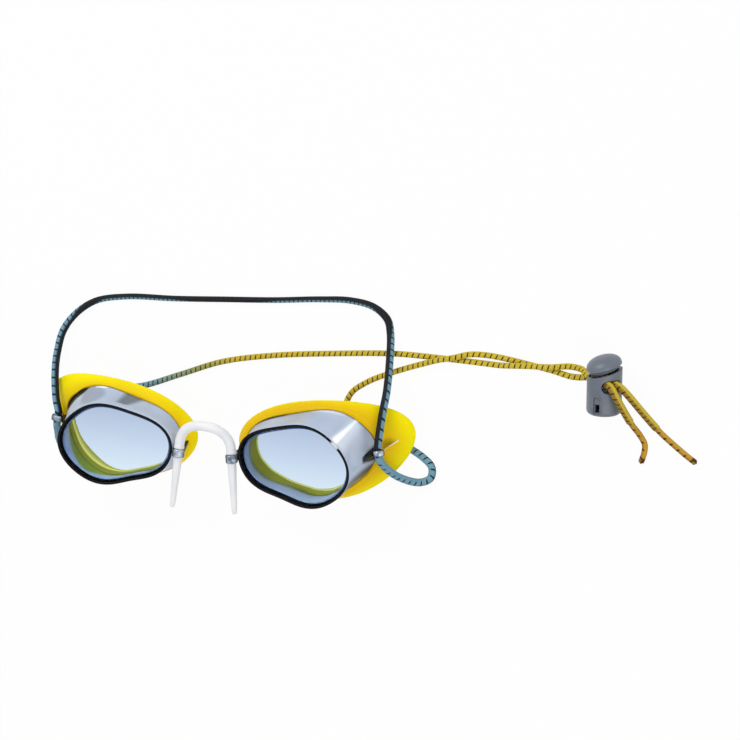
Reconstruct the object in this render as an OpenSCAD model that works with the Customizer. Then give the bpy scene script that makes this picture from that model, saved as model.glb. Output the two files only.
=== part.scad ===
// Racing swim goggles lying face up on a table with their bungee strap laid out round them.
// X runs from cup to cup, Y points to the brow side, Z points up out of the table at z = 0.
// Each cup is drawn in its own frame: x to the temple, y to the brow, z forward from the lens.

/* [Lens] */
// Length of the front window opening from nose to temple
lens_w = 43; // [38:0.5:48]
// Height of the front window opening
lens_h = 31; // [27:0.5:34]
// Thickness of the window plate
window_t = 1.6; // [1.2:0.1:2]
// Width of the black rim round the window
rim_w = 0.95; // [0.8:0.05:1.3]
// How far the rim stands in front of the window
rim_stand = 0.5; // [0.3:0.1:0.8]
// How far the rim wraps outside the cup
rim_wrap = 0.6; // [0.4:0.1:0.8]
// Slit between the rim and the arm of the nose ring
rim_slit = 0.25; // [0.2:0.05:0.3]

/* [Cup] */
// Distance from the middle of the nose to the middle of each cup
cup_offset = 36.1; // [35:0.1:40]
// Angle by which the temple end of each cup comes forward
cup_turn = 4.9; // [0:0.1:8]
// Length of the cup where it meets the seal
base_w = 48; // [46:0.5:51]
// Height of the cup where it meets the seal
base_h = 35; // [33:0.5:38]
// Depth of the cup at its middle
cup_depth = 11.8; // [10:0.1:14]
// Extra depth at the temple end and less at the nose end
cup_sweep = 4.8; // [3:0.1:6]
// Extra depth at both ends
cup_bow = 0.9; // [0:0.1:1.5]
// Thickness of the cup wall
wall_t = 1.5; // [1.2:0.1:2]

/* [Seal] */
// Length of the soft seal over its flange
seal_w = 62.6; // [60:0.2:66]
// Height of the soft seal over its flange
seal_h = 38.8; // [38:0.2:42]
// How far the flange edge lies behind the back of the cup wall
seal_drop = 2.9; // [2:0.1:4]
// Extra drop of the flange edge toward the temple
seal_sweep = 0.8; // [0:0.1:1.5]
// Extra drop of the flange edge at both ends
seal_bow = 1.75; // [1:0.05:2.2]
// Thickness of the flange edge
lip_t = 1; // [0.7:0.1:1.4]
// How far the flange is fuller on the cheek beside the nose
seal_cheek = 1.3; // [0:0.1:2]
// How far the seal reaches in over the eye opening
seal_inset = 3; // [2.2:0.1:3.6]
// Depth of the inner wall of the seal
seal_depth = 3.6; // [3:0.1:4.4]
// How far the front of the flange swells
flange_swell = 0.7; // [0:0.1:1]

/* [Nose bridge] */
// Diameter of the soft bridge strap
bridge_d = 3.7; // [3.4:0.1:4]
// Height of the bridge arch over its rings
bridge_rise = 12; // [9:0.5:15]
// How far the bridge arch bows forward
bridge_bow = 1.5; // [0:0.5:4]
// Diameter of the tail where it passes the ring
tail_d = 3.4; // [3:0.1:3.4]
// Length of each tail below the middle of its ring
tail_l = 20; // [14:0.5:24]
// Diameter of the tail at its tip
tail_tip_d = 2; // [1.6:0.1:2.4]
// Running clearance between the tail and the ring
tail_clear = 0.08; // [0.04:0.01:0.1]
// Wall of the nose ring
ring_wall = 0.7; // [0.5:0.05:0.8]
// Length of the nose ring
ring_l = 3.2; // [2.4:0.1:4]
// Distance of the ring from the end of the lens opening
ring_reach = 3.9; // [3.9:0.1:4.4]
// Place of the ring up or down the nose edge
ring_rise = -1; // [-3:0.5:3]
// Place of the ring in front of the lens face
ring_forward = 0.6; // [0.2:0.1:1.2]
// Angle by which the tails spread outward
tail_splay = 6; // [0:1:10]
// Angle by which the tails lean forward
tail_lean = 8; // [0:1:12]

/* [Strap] */
// Diameter of the slack bungee cord
cord_d = 2.9; // [2.7:0.1:3]
// Clearance between the cord and its eyelet
cord_clear = 0.15; // [0.1:0.05:0.3]
// Wall of the temple eyelet
eyelet_wall = 0.6; // [0.5:0.05:0.8]
// Length of the temple eyelet
eyelet_l = 3.2; // [2.4:0.1:4]
// Distance of the eyelet outside the cup
eyelet_reach = 4.14; // [4:0.02:4.6]
// Place of the eyelet toward the brow
eyelet_rise = 3.9; // [3:0.1:5]
// How far the eyelet lies behind the depth of the cup middle
eyelet_drop = 1.86; // [1.4:0.02:2.4]
// Angle by which the eyelet turns outward at its lower end
eyelet_turn = 12; // [6:1:18]
// Angle by which the lower end of the eyelet leans forward
eyelet_pitch = 10; // [4:1:16]

/* [Cord lock] */
// Diameter of the barrel
barrel_d = 12.8; // [12.4:0.1:14]
// Height of the barrel at its middle
barrel_h = 16; // [15.8:0.1:18]
// Radius round the foot of the barrel
barrel_foot = 1.8; // [1:0.1:2.2]
// Diameter of the plunger
plunger_d = 9; // [8.6:0.1:9.4]
// Running clearance of the plunger in the barrel
plunger_clear = 0.1; // [0.05:0.01:0.1]
// Slant of the barrel top and of the cap
crown_slant = 11; // [0:1:13]
// Gap under the cap with the button up
press_gap = 2; // [1.9:0.1:2.6]
// Diameter of the cap
cap_d = 13; // [12:0.1:14]
// Height of the cap
cap_h = 4.4; // [3.6:0.1:5]
// Height of the cords above the foot of the lock
hole_z = 12; // [11.8:0.1:12.2]
// Height of the cross hole in the barrel
hole_h = 5; // [4.8:0.1:5.4]
// Width of the cross hole in the barrel
hole_w = 8; // [7.8:0.1:8.4]
// Width of the cord window in the plunger
window_w = 6.6; // [6.4:0.1:6.8]
// Height of the cord window in the plunger
window_h = 5.2; // [5.1:0.1:5.6]
// Thickness of the barrel floor
floor_t = 1.5; // [1.2:0.1:2]
// Depth of the spring pocket in the plunger
pocket_h = 5.6; // [5:0.1:6]
// Wire diameter of the spring
spring_wire = 0.5; // [0.4:0.05:0.6]
// Diameter of the spring at the middle of its wire
spring_d = 5; // [4.6:0.1:5.4]
// Number of curls in the spring
spring_curls = 6; // [5:1:7]

/* [Pose] */
// Angle by which the goggles lean back on their brow side
lean = 20; // [20:20]
// Height of the lens face over the table at the nose
lift = 27.6; // [27.6:27.6]

/* [Hidden] */

// The origin lies under the middle of the goggles and the cord lock together
goggles_place = [-38.5, -16, lift];
steps = 48;
round_faces = 64;
overlap = 0.2;

// Departure of each outline from an ellipse, as shares of its length:
// lean of the ends, fullness of the corners, then the same terms across the height
lens_form = [0.0189, 0.0158, -0.0081, -0.0142, 0.0273, 0.0043, 0.0149];
base_form = [0.0265, 0.0175, -0.005, 0.0025, 0.019, 0.0075, 0.0105];
seal_form = [0.018, 0.015, -0.003, 0.016, 0.014, 0.0125, 0.0045];
// Five low waves round the outline, as shares of its length
lens_waves = [0.0045, 0.0006];
base_waves = [0.0055, -0.0025];
seal_waves = [0, 0];
lens_shift = [-0.27, -0.58];
base_shift = [0.25, 0.4];
seal_shift = [3.6, 2.4];
temple_lift = 2.2;

function outline(t, w, h, shift, rise, form, waves) = [
    shift.x + w / 2 * cos(t)
        + w * (form[0] * sin(2 * t) + form[1] * cos(3 * t) + form[2] * sin(3 * t))
        + w * (waves[0] * (cos(4 * t) + cos(6 * t)) + waves[1] * (sin(4 * t) + sin(6 * t))),
    shift.y + rise * cos(t) + h / 2 * sin(t)
        + w * (form[3] * cos(2 * t) + form[4] * sin(2 * t) + form[5] * cos(3 * t) + form[6] * sin(3 * t))
        + w * (waves[0] * (sin(6 * t) - sin(4 * t)) + waves[1] * (cos(4 * t) - cos(6 * t)))
];
function lens_at(t) = outline(t, lens_w, lens_h, lens_shift, 0, lens_form, lens_waves);
function base_at(t) = outline(t, base_w, base_h, base_shift, temple_lift, base_form, base_waves);
function seal_at(t) = outline(t, seal_w, seal_h, seal_shift, temple_lift, seal_form, seal_waves)
    + seal_cheek * pow(max(0, cos(t - 222)), 10) * [cos(t), sin(t)];

// Outward direction of a loop of points at one of them
function outward(before, after) =
    let (d = after - before) [d.y, -d.x] / norm(d);
function lens_out(t, far) = lens_at(t) + far * outward(lens_at(t - 1), lens_at(t + 1));
function base_out(t, far) = base_at(t) + far * outward(base_at(t - 1), base_at(t + 1));

// Depth of the back of the cup and of the flange edge behind the lens face
function run(x) = x / (base_w / 2);
function cup_back(x) = cup_depth + cup_sweep * run(x) + cup_bow * run(x) * run(x);
function flange_back(x) = cup_back(x) + seal_drop + seal_sweep * run(x) + seal_bow * run(x) * run(x);

function turn_at(i) = 360 * i / steps;
function mix(a, b, s) = a + (b - a) * s;
function behind(p, deep) = [p.x, p.y, -deep];

// Points of the cup wall: front edge under the rim and window, back edge on the seal
function wall_front(t, inset) =
    behind(lens_out(t, rim_wrap * (1 - inset / wall_t) - inset), window_t);
function wall_back(t, inset) = let (p = base_out(t, -inset)) behind(p, cup_back(p.x));

// Points of the flange, from the back of the cup wall out to the flange edge
function flange(t, share, deep) =
    let (edge = seal_at(t), near = wall_back(t, 0), far = behind(edge, flange_back(edge.x)))
    mix(near, far, share) - [0, 0, deep];

// Closed band whose cross-section is the same list of points taken right round the cup
module band(sections, crossed) {
    count = len(sections);
    polyhedron(
        points = [for (s = sections) each s],
        faces = [for (j = [0:count - 1]) for (i = [0:steps - 1])
            let (k = (j + 1) % count, n = (i + 1) % steps,
                a = j * steps + i, b = j * steps + n, c = k * steps + n, d = k * steps + i)
            each crossed ? [[a, b, d], [b, c, d]] : [[a, b, c], [a, c, d]]],
        convexity = 8);
}
function loop(f) = [for (i = [0:steps - 1]) f(turn_at(i))];

// Tube swept through points that each hold x, y, z and a radius
function place_of(p) = [p.x, p.y, p.z];
function heading(points, i) =
    let (a = place_of(points[max(i - 1, 0)]), b = place_of(points[min(i + 1, len(points) - 1)]))
    (b - a) / norm(b - a);
function side_of(h, up) = let (s = cross(h, up)) s / norm(s);
function tube_ring(p, h, up, sides) =
    let (s = side_of(h, up), u = cross(s, h))
    [for (k = [0:sides - 1]) let (a = 360 * k / sides) place_of(p) + p[3] * (u * cos(a) + s * sin(a))];
module tube(points, up, sides) {
    count = len(points);
    last = (count - 1) * sides;
    polyhedron(
        points = [for (i = [0:count - 1]) each tube_ring(points[i], heading(points, i), up, sides)],
        faces = concat(
            [[for (k = [0:sides - 1]) k]],
            [[for (k = [sides - 1:-1:0]) last + k]],
            [for (i = [0:count - 2]) for (k = [0:sides - 1])
                let (n = (k + 1) % sides, a = i * sides + k, b = i * sides + n)
                each [[a, a + sides, b + sides], [a, b + sides, b]]]),
        convexity = 8);
}

// The goggles lean on the table and each cup turns about its own upright
module goggles() {
    translate(goggles_place) rotate([lean, 0, 0]) children();
}
module cup(side) {
    goggles() mirror([side < 0 ? 1 : 0, 0, 0]) translate([cup_offset, 0, 0])
        rotate([0, -cup_turn, 0]) children();
}
function from_cup(p) = [
    cup_offset + p.x * cos(cup_turn) - p.z * sin(cup_turn),
    p.y,
    p.x * sin(cup_turn) + p.z * cos(cup_turn)
];

// Nose ring, its z axis runs down the tail
ring_place = [-lens_w / 2 - ring_reach, ring_rise, ring_forward];
ring_bore = tail_d / 2 + tail_clear;
tail_down = [
    sin(tail_splay),
    -cos(tail_splay) * cos(tail_lean),
    cos(tail_splay) * sin(tail_lean)
];
module ring_frame() {
    translate(ring_place) rotate([-tail_lean, 0, 0]) rotate([0, 0, tail_splay])
        rotate([90, 0, 0]) children();
}

// Temple eyelet, its z axis runs down the cord
eyelet_place = [base_w / 2 + eyelet_reach, eyelet_rise, -cup_depth - eyelet_drop];
eyelet_bore = cord_d / 2 + cord_clear;
module eyelet_frame() {
    translate(eyelet_place) rotate([-eyelet_pitch, 0, 0]) rotate([0, 0, eyelet_turn])
        rotate([90, 0, 0]) children();
}

module wall() {
    band([
        loop(function(t) wall_front(t, 0)),
        loop(function(t) mix(wall_front(t, 0), wall_back(t, 0), 1 / 3)),
        loop(function(t) mix(wall_front(t, 0), wall_back(t, 0), 2 / 3)),
        loop(function(t) wall_back(t, 0)),
        loop(function(t) wall_back(t, wall_t)),
        loop(function(t) mix(wall_front(t, wall_t), wall_back(t, wall_t), 2 / 3)),
        loop(function(t) mix(wall_front(t, wall_t), wall_back(t, wall_t), 1 / 3)),
        loop(function(t) wall_front(t, wall_t))
    ], false);
}

// Web that carries the nose ring, kept under the rim
web_h = 2.6;
web_low = 3.4;
module ring_web() {
    low = -window_t - web_low;
    high = ring_forward - ring_bore;
    translate([ring_place.x, ring_rise - web_h / 2, low])
        cube([ring_reach - wall_t / 3, web_h, -window_t - rim_slit - overlap - low]);
    translate([ring_place.x - ring_bore - ring_wall, ring_rise - web_h / 2, low])
        cube([ring_bore + ring_wall + overlap, web_h, high - low]);
}

// Web that carries the temple eyelet
ear_h = 2.4;
ear_t = 2;
module eyelet_web() {
    reach = eyelet_reach + overlap * 2;
    translate([eyelet_place.x - reach, eyelet_rise - ear_h / 2, eyelet_place.z - ear_t / 2])
        cube([reach, ear_h, ear_t]);
}

// Mirrored cup with its nose ring and temple eyelet
module shell() {
    difference() {
        union() {
            wall();
            ring_web();
            ring_frame() cylinder(r = ring_bore + ring_wall, h = ring_l, center = true, $fn = round_faces);
        }
        ring_frame() cylinder(r = ring_bore, h = ring_l * 3, center = true, $fn = round_faces);
    }
    difference() {
        union() {
            eyelet_web();
            eyelet_frame()
                cylinder(r = eyelet_bore + eyelet_wall, h = eyelet_l, center = true, $fn = round_faces);
        }
        eyelet_frame() cylinder(r = eyelet_bore, h = eyelet_l * 3, center = true, $fn = round_faces);
    }
}
module left_shell() {
    color("silver") cup(-1) shell();
}
module right_shell() {
    color("silver") cup(1) shell();
}

// Flat tinted window
window_slit = 0.15;
module window() {
    translate([0, 0, -window_t]) linear_extrude(window_t)
        polygon(loop(function(t) lens_out(t, rim_wrap - rim_w - window_slit)));
}
module left_window() {
    color("lightsteelblue") cup(-1) window();
}
module right_window() {
    color("lightsteelblue") cup(1) window();
}

// Black rim: a ring round the window that stands on the front edge of the wall
module rim() {
    translate([0, 0, -window_t]) linear_extrude(window_t + rim_stand) difference() {
        polygon(loop(function(t) lens_out(t, rim_wrap)));
        polygon(loop(function(t) lens_out(t, rim_wrap - rim_w)));
    }
}
module left_rim() {
    color("black") cup(-1) rim();
}
module right_rim() {
    color("black") cup(1) rim();
}

// Soft seal: front of the flange, its edge, the face side and the inner wall
module gasket() {
    band([
        loop(function(t) wall_back(t, 0)),
        loop(function(t) flange(t, 0.3, -flange_swell)),
        loop(function(t) flange(t, 0.65, -flange_swell)),
        loop(function(t) flange(t, 0.92, -flange_swell / 2)),
        loop(function(t) flange(t, 1, lip_t * 0.3)),
        loop(function(t) flange(t, 0.96, lip_t)),
        loop(function(t) flange(t, 0.55, lip_t * 2)),
        loop(function(t) wall_back(t, seal_inset) - [0, 0, seal_depth]),
        loop(function(t) wall_back(t, seal_inset) - [0, 0, seal_depth * 0.8]),
        loop(function(t) wall_back(t, mix(wall_t, seal_inset, 0.75)) - [0, 0, seal_depth * 0.35]),
        loop(function(t) wall_back(t, wall_t))
    ], true);
}
module left_gasket() {
    color("gold") cup(-1) gasket();
}
module right_gasket() {
    color("gold") cup(1) gasket();
}

// Soft nose bridge: an arch from ring to ring, with a shoulder and a tapered tail at each ring
shoulder_gap = 0.3;
shoulder_l = 1.2;
shoulder_lip = 0.15;
shoulder_top = ring_l / 2 + shoulder_gap + shoulder_l;
arch_sides = 24;
arch_steps = 16;
function cubic(a, b, c, d, s) =
    a * pow(1 - s, 3) + 3 * b * s * pow(1 - s, 2) + 3 * c * pow(s, 2) * (1 - s) + d * pow(s, 3);
arch_foot = from_cup(ring_place - tail_down * (shoulder_top - shoulder_l / 2));
arch_top = [0, arch_foot.y + bridge_rise - shoulder_top, arch_foot.z + bridge_bow];
function arch_half(s) = cubic(
    arch_foot,
    from_cup(ring_place - tail_down * (shoulder_top + bridge_rise * 0.45)),
    [arch_foot.x * 0.62, arch_top.y, arch_top.z],
    arch_top, s);
function mirrored(p) = [-p.x, p.y, p.z];
function arch_point(i) =
    let (s = 2 * i / arch_steps, p = s <= 1 ? arch_half(s) : mirrored(arch_half(2 - s)))
    [p.x, p.y, p.z, bridge_d / 2];
// Half section of the tail, from its shoulder down to a round tip
module tail() {
    shoulder_r = bridge_d / 2 + shoulder_lip;
    taper_start = ring_l / 2 + shoulder_gap;
    tip_r = tail_tip_d / 2;
    profile = concat(
        [[0, -shoulder_top], [shoulder_r - shoulder_lip, -shoulder_top]],
        [[shoulder_r, -shoulder_top + shoulder_lip], [shoulder_r, -taper_start]],
        [[tail_d / 2, -taper_start], [tail_d / 2, taper_start]],
        [for (a = [0:15:75]) [tip_r * cos(a), tail_l + tip_r * sin(a)]],
        [[0, tail_l + tip_r]]);
    rotate_extrude($fn = round_faces) polygon(profile);
}
module nose_bridge() {
    color("whitesmoke") {
        goggles() tube([for (i = [0:arch_steps]) arch_point(i)], [0, 0, 1], arch_sides);
        cup(-1) ring_frame() tail();
        cup(1) ring_frame() tail();
    }
}

// Bungee strap: route points of its centre on the table, with the radius at each
slack = cord_d / 2;
thin = 1.1;
table_up = [0, 0, 1];
arch_left_route = [
    [-103.8, -8.5, 18.4, slack], [-103.4, -6.4, 18.7, slack], [-105.7, -1.5, 17.2, slack],
    [-109.6, 8, 12.4, slack], [-113, 16.9, 5.4, slack], [-113.2, 25.4, 1.7, slack],
    [-108.5, 32.5, 1.4, 1.35], [-101, 37.8, 1.3, 1.25], [-88.5, 40.5, 1.15, 1.15],
    [-68, 41.5, 1.1, thin], [-47.5, 43, 1.1, thin]
];
arch_right_route = [
    [-47.5, 43, 1.1, thin], [-27.5, 44.5, 1.1, thin], [-9, 46.4, 1.15, 1.15],
    [3, 47, 1.3, 1.25], [12.5, 45.4, 1.4, 1.35], [18.5, 41.2, 1.5, slack],
    [20.6, 36, 2.4, slack], [22.8, 26, 6.2, slack],
    [25.4, 14.5, 13, slack], [26.3, 5.5, 17.6, slack], [26.4, -6.4, 18.7, slack],
    [26.8, -8.5, 18.4, slack]
];
rear_left_route = [
    [-103.8, -8.5, 18.4, slack], [-104.2, -10.6, 18.1, slack], [-106.2, -14.4, 13.5, slack],
    [-108.8, -17.8, 7.4, slack], [-109.4, -20.6, 3, slack], [-106.8, -22.3, 1.5, slack],
    [-104.2, -20.2, 1.4, 1.4], [-104.5, -15, 1.4, 1.4], [-107.2, -9.3, 1.4, 1.4],
    [-105.4, -3.4, 1.4, 1.4], [-99.6, 1.4, 1.4, 1.4], [-90, 4.8, 1.4, 1.35],
    [-77.5, 7.2, 1.2, 1.2], [-62.5, 13, 1.1, thin],
    [-46, 19.4, 1.1, thin], [-26, 23.6, 1.1, thin], [0, 26.8, 1.1, thin],
    [24, 28.9, 1.1, thin], [46.5, 28.8, 1.1, thin]
];
rear_right_route = [
    [26.8, -8.5, 18.4, slack], [27.2, -10.6, 18.1, slack], [29.2, -14, 13.9, slack],
    [33, -16.8, 7.6, slack], [38.4, -17.6, 2.5, slack], [42, -15.6, 1.5, slack],
    [42, -11.6, 1.4, 1.4], [38, -8.2, 1.4, 1.4], [28, -3.8, 1.4, 1.4],
    [15, -0.8, 1.3, 1.3], [8, 2, 1.2, 1.2], [5.6, 7, 1.2, 1.15], [7.2, 12.6, 1.1, thin],
    [13, 17.3, 1.1, thin], [24, 22.4, 1.1, thin],
    [36.5, 26.8, 2.4, thin], [41, 28.1, 3.4, thin], [46.5, 29.4, 3.5, thin]
];
pair_a_route = [
    [46.5, 28.8, 1.1, thin], [60, 28.5, 1.1, thin], [64, 28.4, 1.4, thin], [70, 28.7, 2.9, thin],
    [76, 29.1, 3.4, thin], [84, 29.5, 3.5, thin], [91, 30.5, 1.8, 1.15], [95.5, 29.9, 2, 1.2],
    [98.9, 27.9, 4.3, 1.3], [105.5, 25.9, 10.2, 1.4]
];
pair_b_route = [
    [46.5, 29.4, 3.5, thin], [52, 31.2, 2.4, thin], [60, 31.6, 1.1, thin],
    [84, 28.4, 1.1, thin], [92, 26.9, 1.2, 1.15], [97.5, 27.3, 1.3, 1.2],
    [101.1, 28.4, 2, 1.3], [107.7, 26.5, 8.2, 1.4]
];
tail_a_route = [
    [105.5, 25.9, 10.2, 1.4], [109.9, 24.6, 14.4, 1.4], [111.6, 23.2, 15.5, 1.4],
    [113.2, 20.6, 14.9, 1.4], [115, 17, 11.8, 1.4], [117.6, 11.8, 6.4, 1.4]
];
tail_b_route = [
    [107.7, 26.5, 8.2, 1.4], [112.1, 25.2, 12.4, 1.4], [114.3, 24.2, 13.4, 1.4],
    [116.6, 22.2, 12.7, 1.4], [122.5, 15.2, 6.4, 1.4], [126.2, 11.2, 3.1, 1.4]
];
end_a_route = [
    [117.6, 11.8, 6.4, thin], [120, 8.4, 2.9, thin], [121.8, 5.2, 1.3, thin],
    [121.9, 2.1, 1.1, thin], [120.9, -2, 1.1, thin]
];
end_b_route = [
    [126.2, 11.2, 3.1, thin], [128.5, 9.1, 1.9, thin],
    [136.7, 3.3, 1.1, thin], [141.7, 0.2, 1.1, thin]
];
module cord(route) {
    tube(route, table_up, 8);
}
module strap_arch_left() {
    color("cadetblue") cord(arch_left_route);
}
module strap_arch_right() {
    color("cadetblue") cord(arch_right_route);
}
module strap_rear_left() {
    color("cadetblue") cord(rear_left_route);
}
module strap_rear_right() {
    color("cadetblue") cord(rear_right_route);
}
module strap_pair_a() {
    color("goldenrod") cord(pair_a_route);
}
module strap_pair_b() {
    color("goldenrod") cord(pair_b_route);
}
module strap_tail_a() {
    color("goldenrod") cord(tail_a_route);
}
module strap_tail_b() {
    color("goldenrod") cord(tail_b_route);
}
module tail_end_a() {
    color("sienna") cord(end_a_route);
}
module tail_end_b() {
    color("sienna") cord(end_b_route);
}

// Cord lock, lying on its side with its cap end propped on the cords
lock_foot = [106.6, 14.7, 5.7];
lock_tip = 73;
lock_roll = 45;
module lock() {
    translate(lock_foot) rotate([-lock_tip, 0, 0]) rotate([0, 0, -lock_roll]) children();
}
// Direction in which the crown of the lock rises
crown_turn = 66;
module crown(z) {
    translate([0, 0, z]) rotate([0, 0, crown_turn]) rotate([0, -crown_slant, 0]) children();
}
cord_gap = 0.3;
// The cords lie against the upper edge of the cross hole
hole_mid = hole_z + cord_d / 2 + cord_gap - hole_h / 2;
// Slot in the side of the barrel with a small catch window at its foot
slot_turn = -48;
slot_w = 2.5;
slot_low = 1.6;
slot_high = 8.1;
slot_deep = 0.5;
catch_h = 2.4;
module barrel_blank() {
    profile = concat(
        [[0, 0]],
        [for (a = [-90:15:0])
            [barrel_d / 2 - barrel_foot + barrel_foot * cos(a), barrel_foot + barrel_foot * sin(a)]],
        [[barrel_d / 2, barrel_h * 1.2], [0, barrel_h * 1.2]]);
    difference() {
        rotate_extrude($fn = round_faces) polygon(profile);
        crown(barrel_h) translate([-barrel_d, -barrel_d, 0]) cube([barrel_d * 2, barrel_d * 2, barrel_d]);
    }
}
module cross_hole() {
    translate([0, 0, hole_mid]) rotate([0, 90, 0]) {
        for (side = [-1, 1])
            translate([0, side * (hole_w - hole_h) / 2, 0])
                cylinder(d = hole_h, h = barrel_d * 2, center = true, $fn = round_faces);
        cube([hole_h, hole_w - hole_h, barrel_d * 2], center = true);
    }
}
module lock_barrel() {
    color("slategray") lock() difference() {
        barrel_blank();
        translate([0, 0, floor_t])
            cylinder(r = plunger_d / 2 + plunger_clear, h = barrel_h * 2, $fn = round_faces);
        cross_hole();
        rotate([0, 0, slot_turn]) {
            translate([barrel_d / 2 - slot_deep, -slot_w / 2, slot_low])
                cube([barrel_d, slot_w, slot_high - slot_low]);
            translate([plunger_d / 4, -slot_w / 3, slot_low + floor_t])
                cube([barrel_d, slot_w * 2 / 3, catch_h]);
        }
    }
}

// Button: a slanted dome cap on a plunger with a window for both cords
plunger_foot = 3.7;
// The cords lie against the lower edge of the plunger window
cord_window_low = hole_z - cord_d / 2 - cord_gap;
module cap_dome() {
    edge = 0.9;
    profile = concat(
        [[0, 0], [cap_d / 2 - edge / 2, 0], [cap_d / 2, edge]],
        [for (a = [15:15:75]) [cap_d / 2 * cos(a), edge + (cap_h - edge) * sin(a)]],
        [[0, cap_h]]);
    rotate_extrude($fn = round_faces) polygon(profile);
}
module lock_button() {
    cap_z = barrel_h + press_gap;
    color("slategray") lock() difference() {
        union() {
            translate([0, 0, plunger_foot])
                cylinder(d = plunger_d, h = cap_z + cap_h / 3 - plunger_foot, $fn = round_faces);
            crown(cap_z) cap_dome();
        }
        translate([-plunger_d, -window_w / 2, cord_window_low])
            cube([plunger_d * 2, window_w, window_h]);
        translate([0, 0, plunger_foot - overlap])
            cylinder(d = spring_d + spring_wire + 0.6, h = pocket_h + overlap, $fn = round_faces);
    }
}

// Spring between the barrel floor and the roof of the plunger pocket
spring_seat = 0.1;
spring_low = floor_t + spring_seat + spring_wire / 2;
spring_high = plunger_foot + pocket_h - spring_seat - spring_wire / 2;
curl_rings = 8;
spring_sides = 6;
spring_count = spring_curls * curl_rings;
function spring_point(i) =
    let (a = 360 * i / curl_rings, s = i / spring_count)
    [spring_d / 2 * cos(a), spring_d / 2 * sin(a), mix(spring_low, spring_high, s), spring_wire / 2];
spring_pitch = (spring_high - spring_low) / spring_curls;
spring_gap = min([for (i = [0:spring_count - curl_rings]) for (k = [-2:2])
    let (j = min(max(i + curl_rings + k, 0), spring_count))
    norm(place_of(spring_point(i)) - place_of(spring_point(j))) - spring_wire]);
echo(spring_gap = spring_gap, spring_pitch = spring_pitch);
module lock_spring() {
    color("gray") lock()
        tube([for (i = [0:spring_count]) spring_point(i)], table_up, spring_sides);
}

nose_bridge();
left_shell();
left_window();
left_rim();
left_gasket();
right_shell();
right_window();
right_rim();
right_gasket();
strap_arch_left();
strap_arch_right();
strap_rear_left();
strap_rear_right();
strap_pair_a();
strap_pair_b();
strap_tail_a();
strap_tail_b();
tail_end_a();
tail_end_b();
lock_barrel();
lock_button();
lock_spring();
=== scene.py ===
"""Racing swim goggles lying face up with their bungee strap laid out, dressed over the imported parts."""
import math

import bmesh
import bpy
import numpy as np
from mathutils import Matrix, Vector


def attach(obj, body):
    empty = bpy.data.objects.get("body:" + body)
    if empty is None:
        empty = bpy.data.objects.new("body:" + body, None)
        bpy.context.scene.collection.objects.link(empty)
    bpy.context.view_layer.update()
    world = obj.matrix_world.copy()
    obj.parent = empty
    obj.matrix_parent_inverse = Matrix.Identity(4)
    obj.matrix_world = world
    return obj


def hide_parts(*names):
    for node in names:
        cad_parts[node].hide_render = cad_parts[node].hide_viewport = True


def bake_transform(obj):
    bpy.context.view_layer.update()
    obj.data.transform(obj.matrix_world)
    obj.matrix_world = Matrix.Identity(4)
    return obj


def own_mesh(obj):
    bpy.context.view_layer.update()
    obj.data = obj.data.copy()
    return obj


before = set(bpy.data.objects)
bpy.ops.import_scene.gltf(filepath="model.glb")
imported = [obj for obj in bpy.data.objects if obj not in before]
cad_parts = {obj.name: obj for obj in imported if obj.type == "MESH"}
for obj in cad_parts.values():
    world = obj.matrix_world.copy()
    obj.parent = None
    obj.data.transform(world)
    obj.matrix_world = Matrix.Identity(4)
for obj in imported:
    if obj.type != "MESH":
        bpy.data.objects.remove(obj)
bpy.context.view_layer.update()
MM = 0.001
TAU = 2 * math.pi
NAMES = {-1: "left", 1: "right"}


# Camera
def place_camera():
    """Long lens high over the goggles, leaning to the side of the cord lock."""
    place = Vector((430.2, 0.4, 1133.9)) * MM
    right = Vector((0.9337, 0.1077, -0.3414)).normalized()
    back = Vector((0.3451, -0.0178, 0.9384)).normalized()
    up = back.cross(right).normalized()
    right = up.cross(back)
    turn = Matrix((right, up, back)).transposed().to_4x4()
    data = bpy.data.cameras.new("camera")
    data.lens = 157.6
    data.sensor_width = 36
    data.clip_start = 0.05
    data.clip_end = 20
    camera = bpy.data.objects.new("camera", data)
    camera.matrix_world = Matrix.Translation(place) @ turn
    bpy.context.collection.objects.link(camera)
    bpy.context.scene.camera = camera


place_camera()


# Node helpers
def set_sockets(node, values):
    for key, value in values.items():
        node.inputs[key].default_value = value


def new_material(name, finish):
    """A material, its node tree and its shader, with these values on the shader's sockets."""
    material = bpy.data.materials.new(name)
    material.use_nodes = True
    shader = material.node_tree.nodes["Principled BSDF"]
    set_sockets(shader, finish)
    return material, material.node_tree, shader


def add(tree, kind, values=None, **settings):
    node = tree.nodes.new(kind)
    for key, value in settings.items():
        setattr(node, key, value)
    set_sockets(node, values or {})
    return node


def link(source, target):
    source.id_data.links.new(source, target)


def math_node(tree, operation, a, b=None, clamp=False):
    node = add(tree, "ShaderNodeMath", operation=operation, use_clamp=clamp)
    for socket, value in zip(node.inputs, (a, b)):
        if value is None:
            continue
        if isinstance(value, (int, float)):
            socket.default_value = value
        else:
            link(value, socket)
    return node.outputs[0]


def ramp(tree, source, stops):
    """Colour for a value, from (value, colour) stops."""
    node = add(tree, "ShaderNodeValToRGB")
    elements = node.color_ramp.elements
    while len(elements) < len(stops):
        elements.new(0.5)
    for element, (place, colour) in zip(elements, stops):
        element.position = place
        element.color = (*colour, 1)
    link(source, node.inputs[0])
    return node.outputs[0]


def mix_colour(tree, amount, a, b, blend="MIX"):
    node = add(tree, "ShaderNodeMix", data_type="RGBA", blend_type=blend)
    for socket, value in ((node.inputs[0], amount), (node.inputs[6], a), (node.inputs[7], b)):
        if isinstance(value, (int, float)):
            socket.default_value = value
        elif isinstance(value, tuple):
            socket.default_value = (*value, 1)
        else:
            link(value, socket)
    return node.outputs[2]


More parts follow.
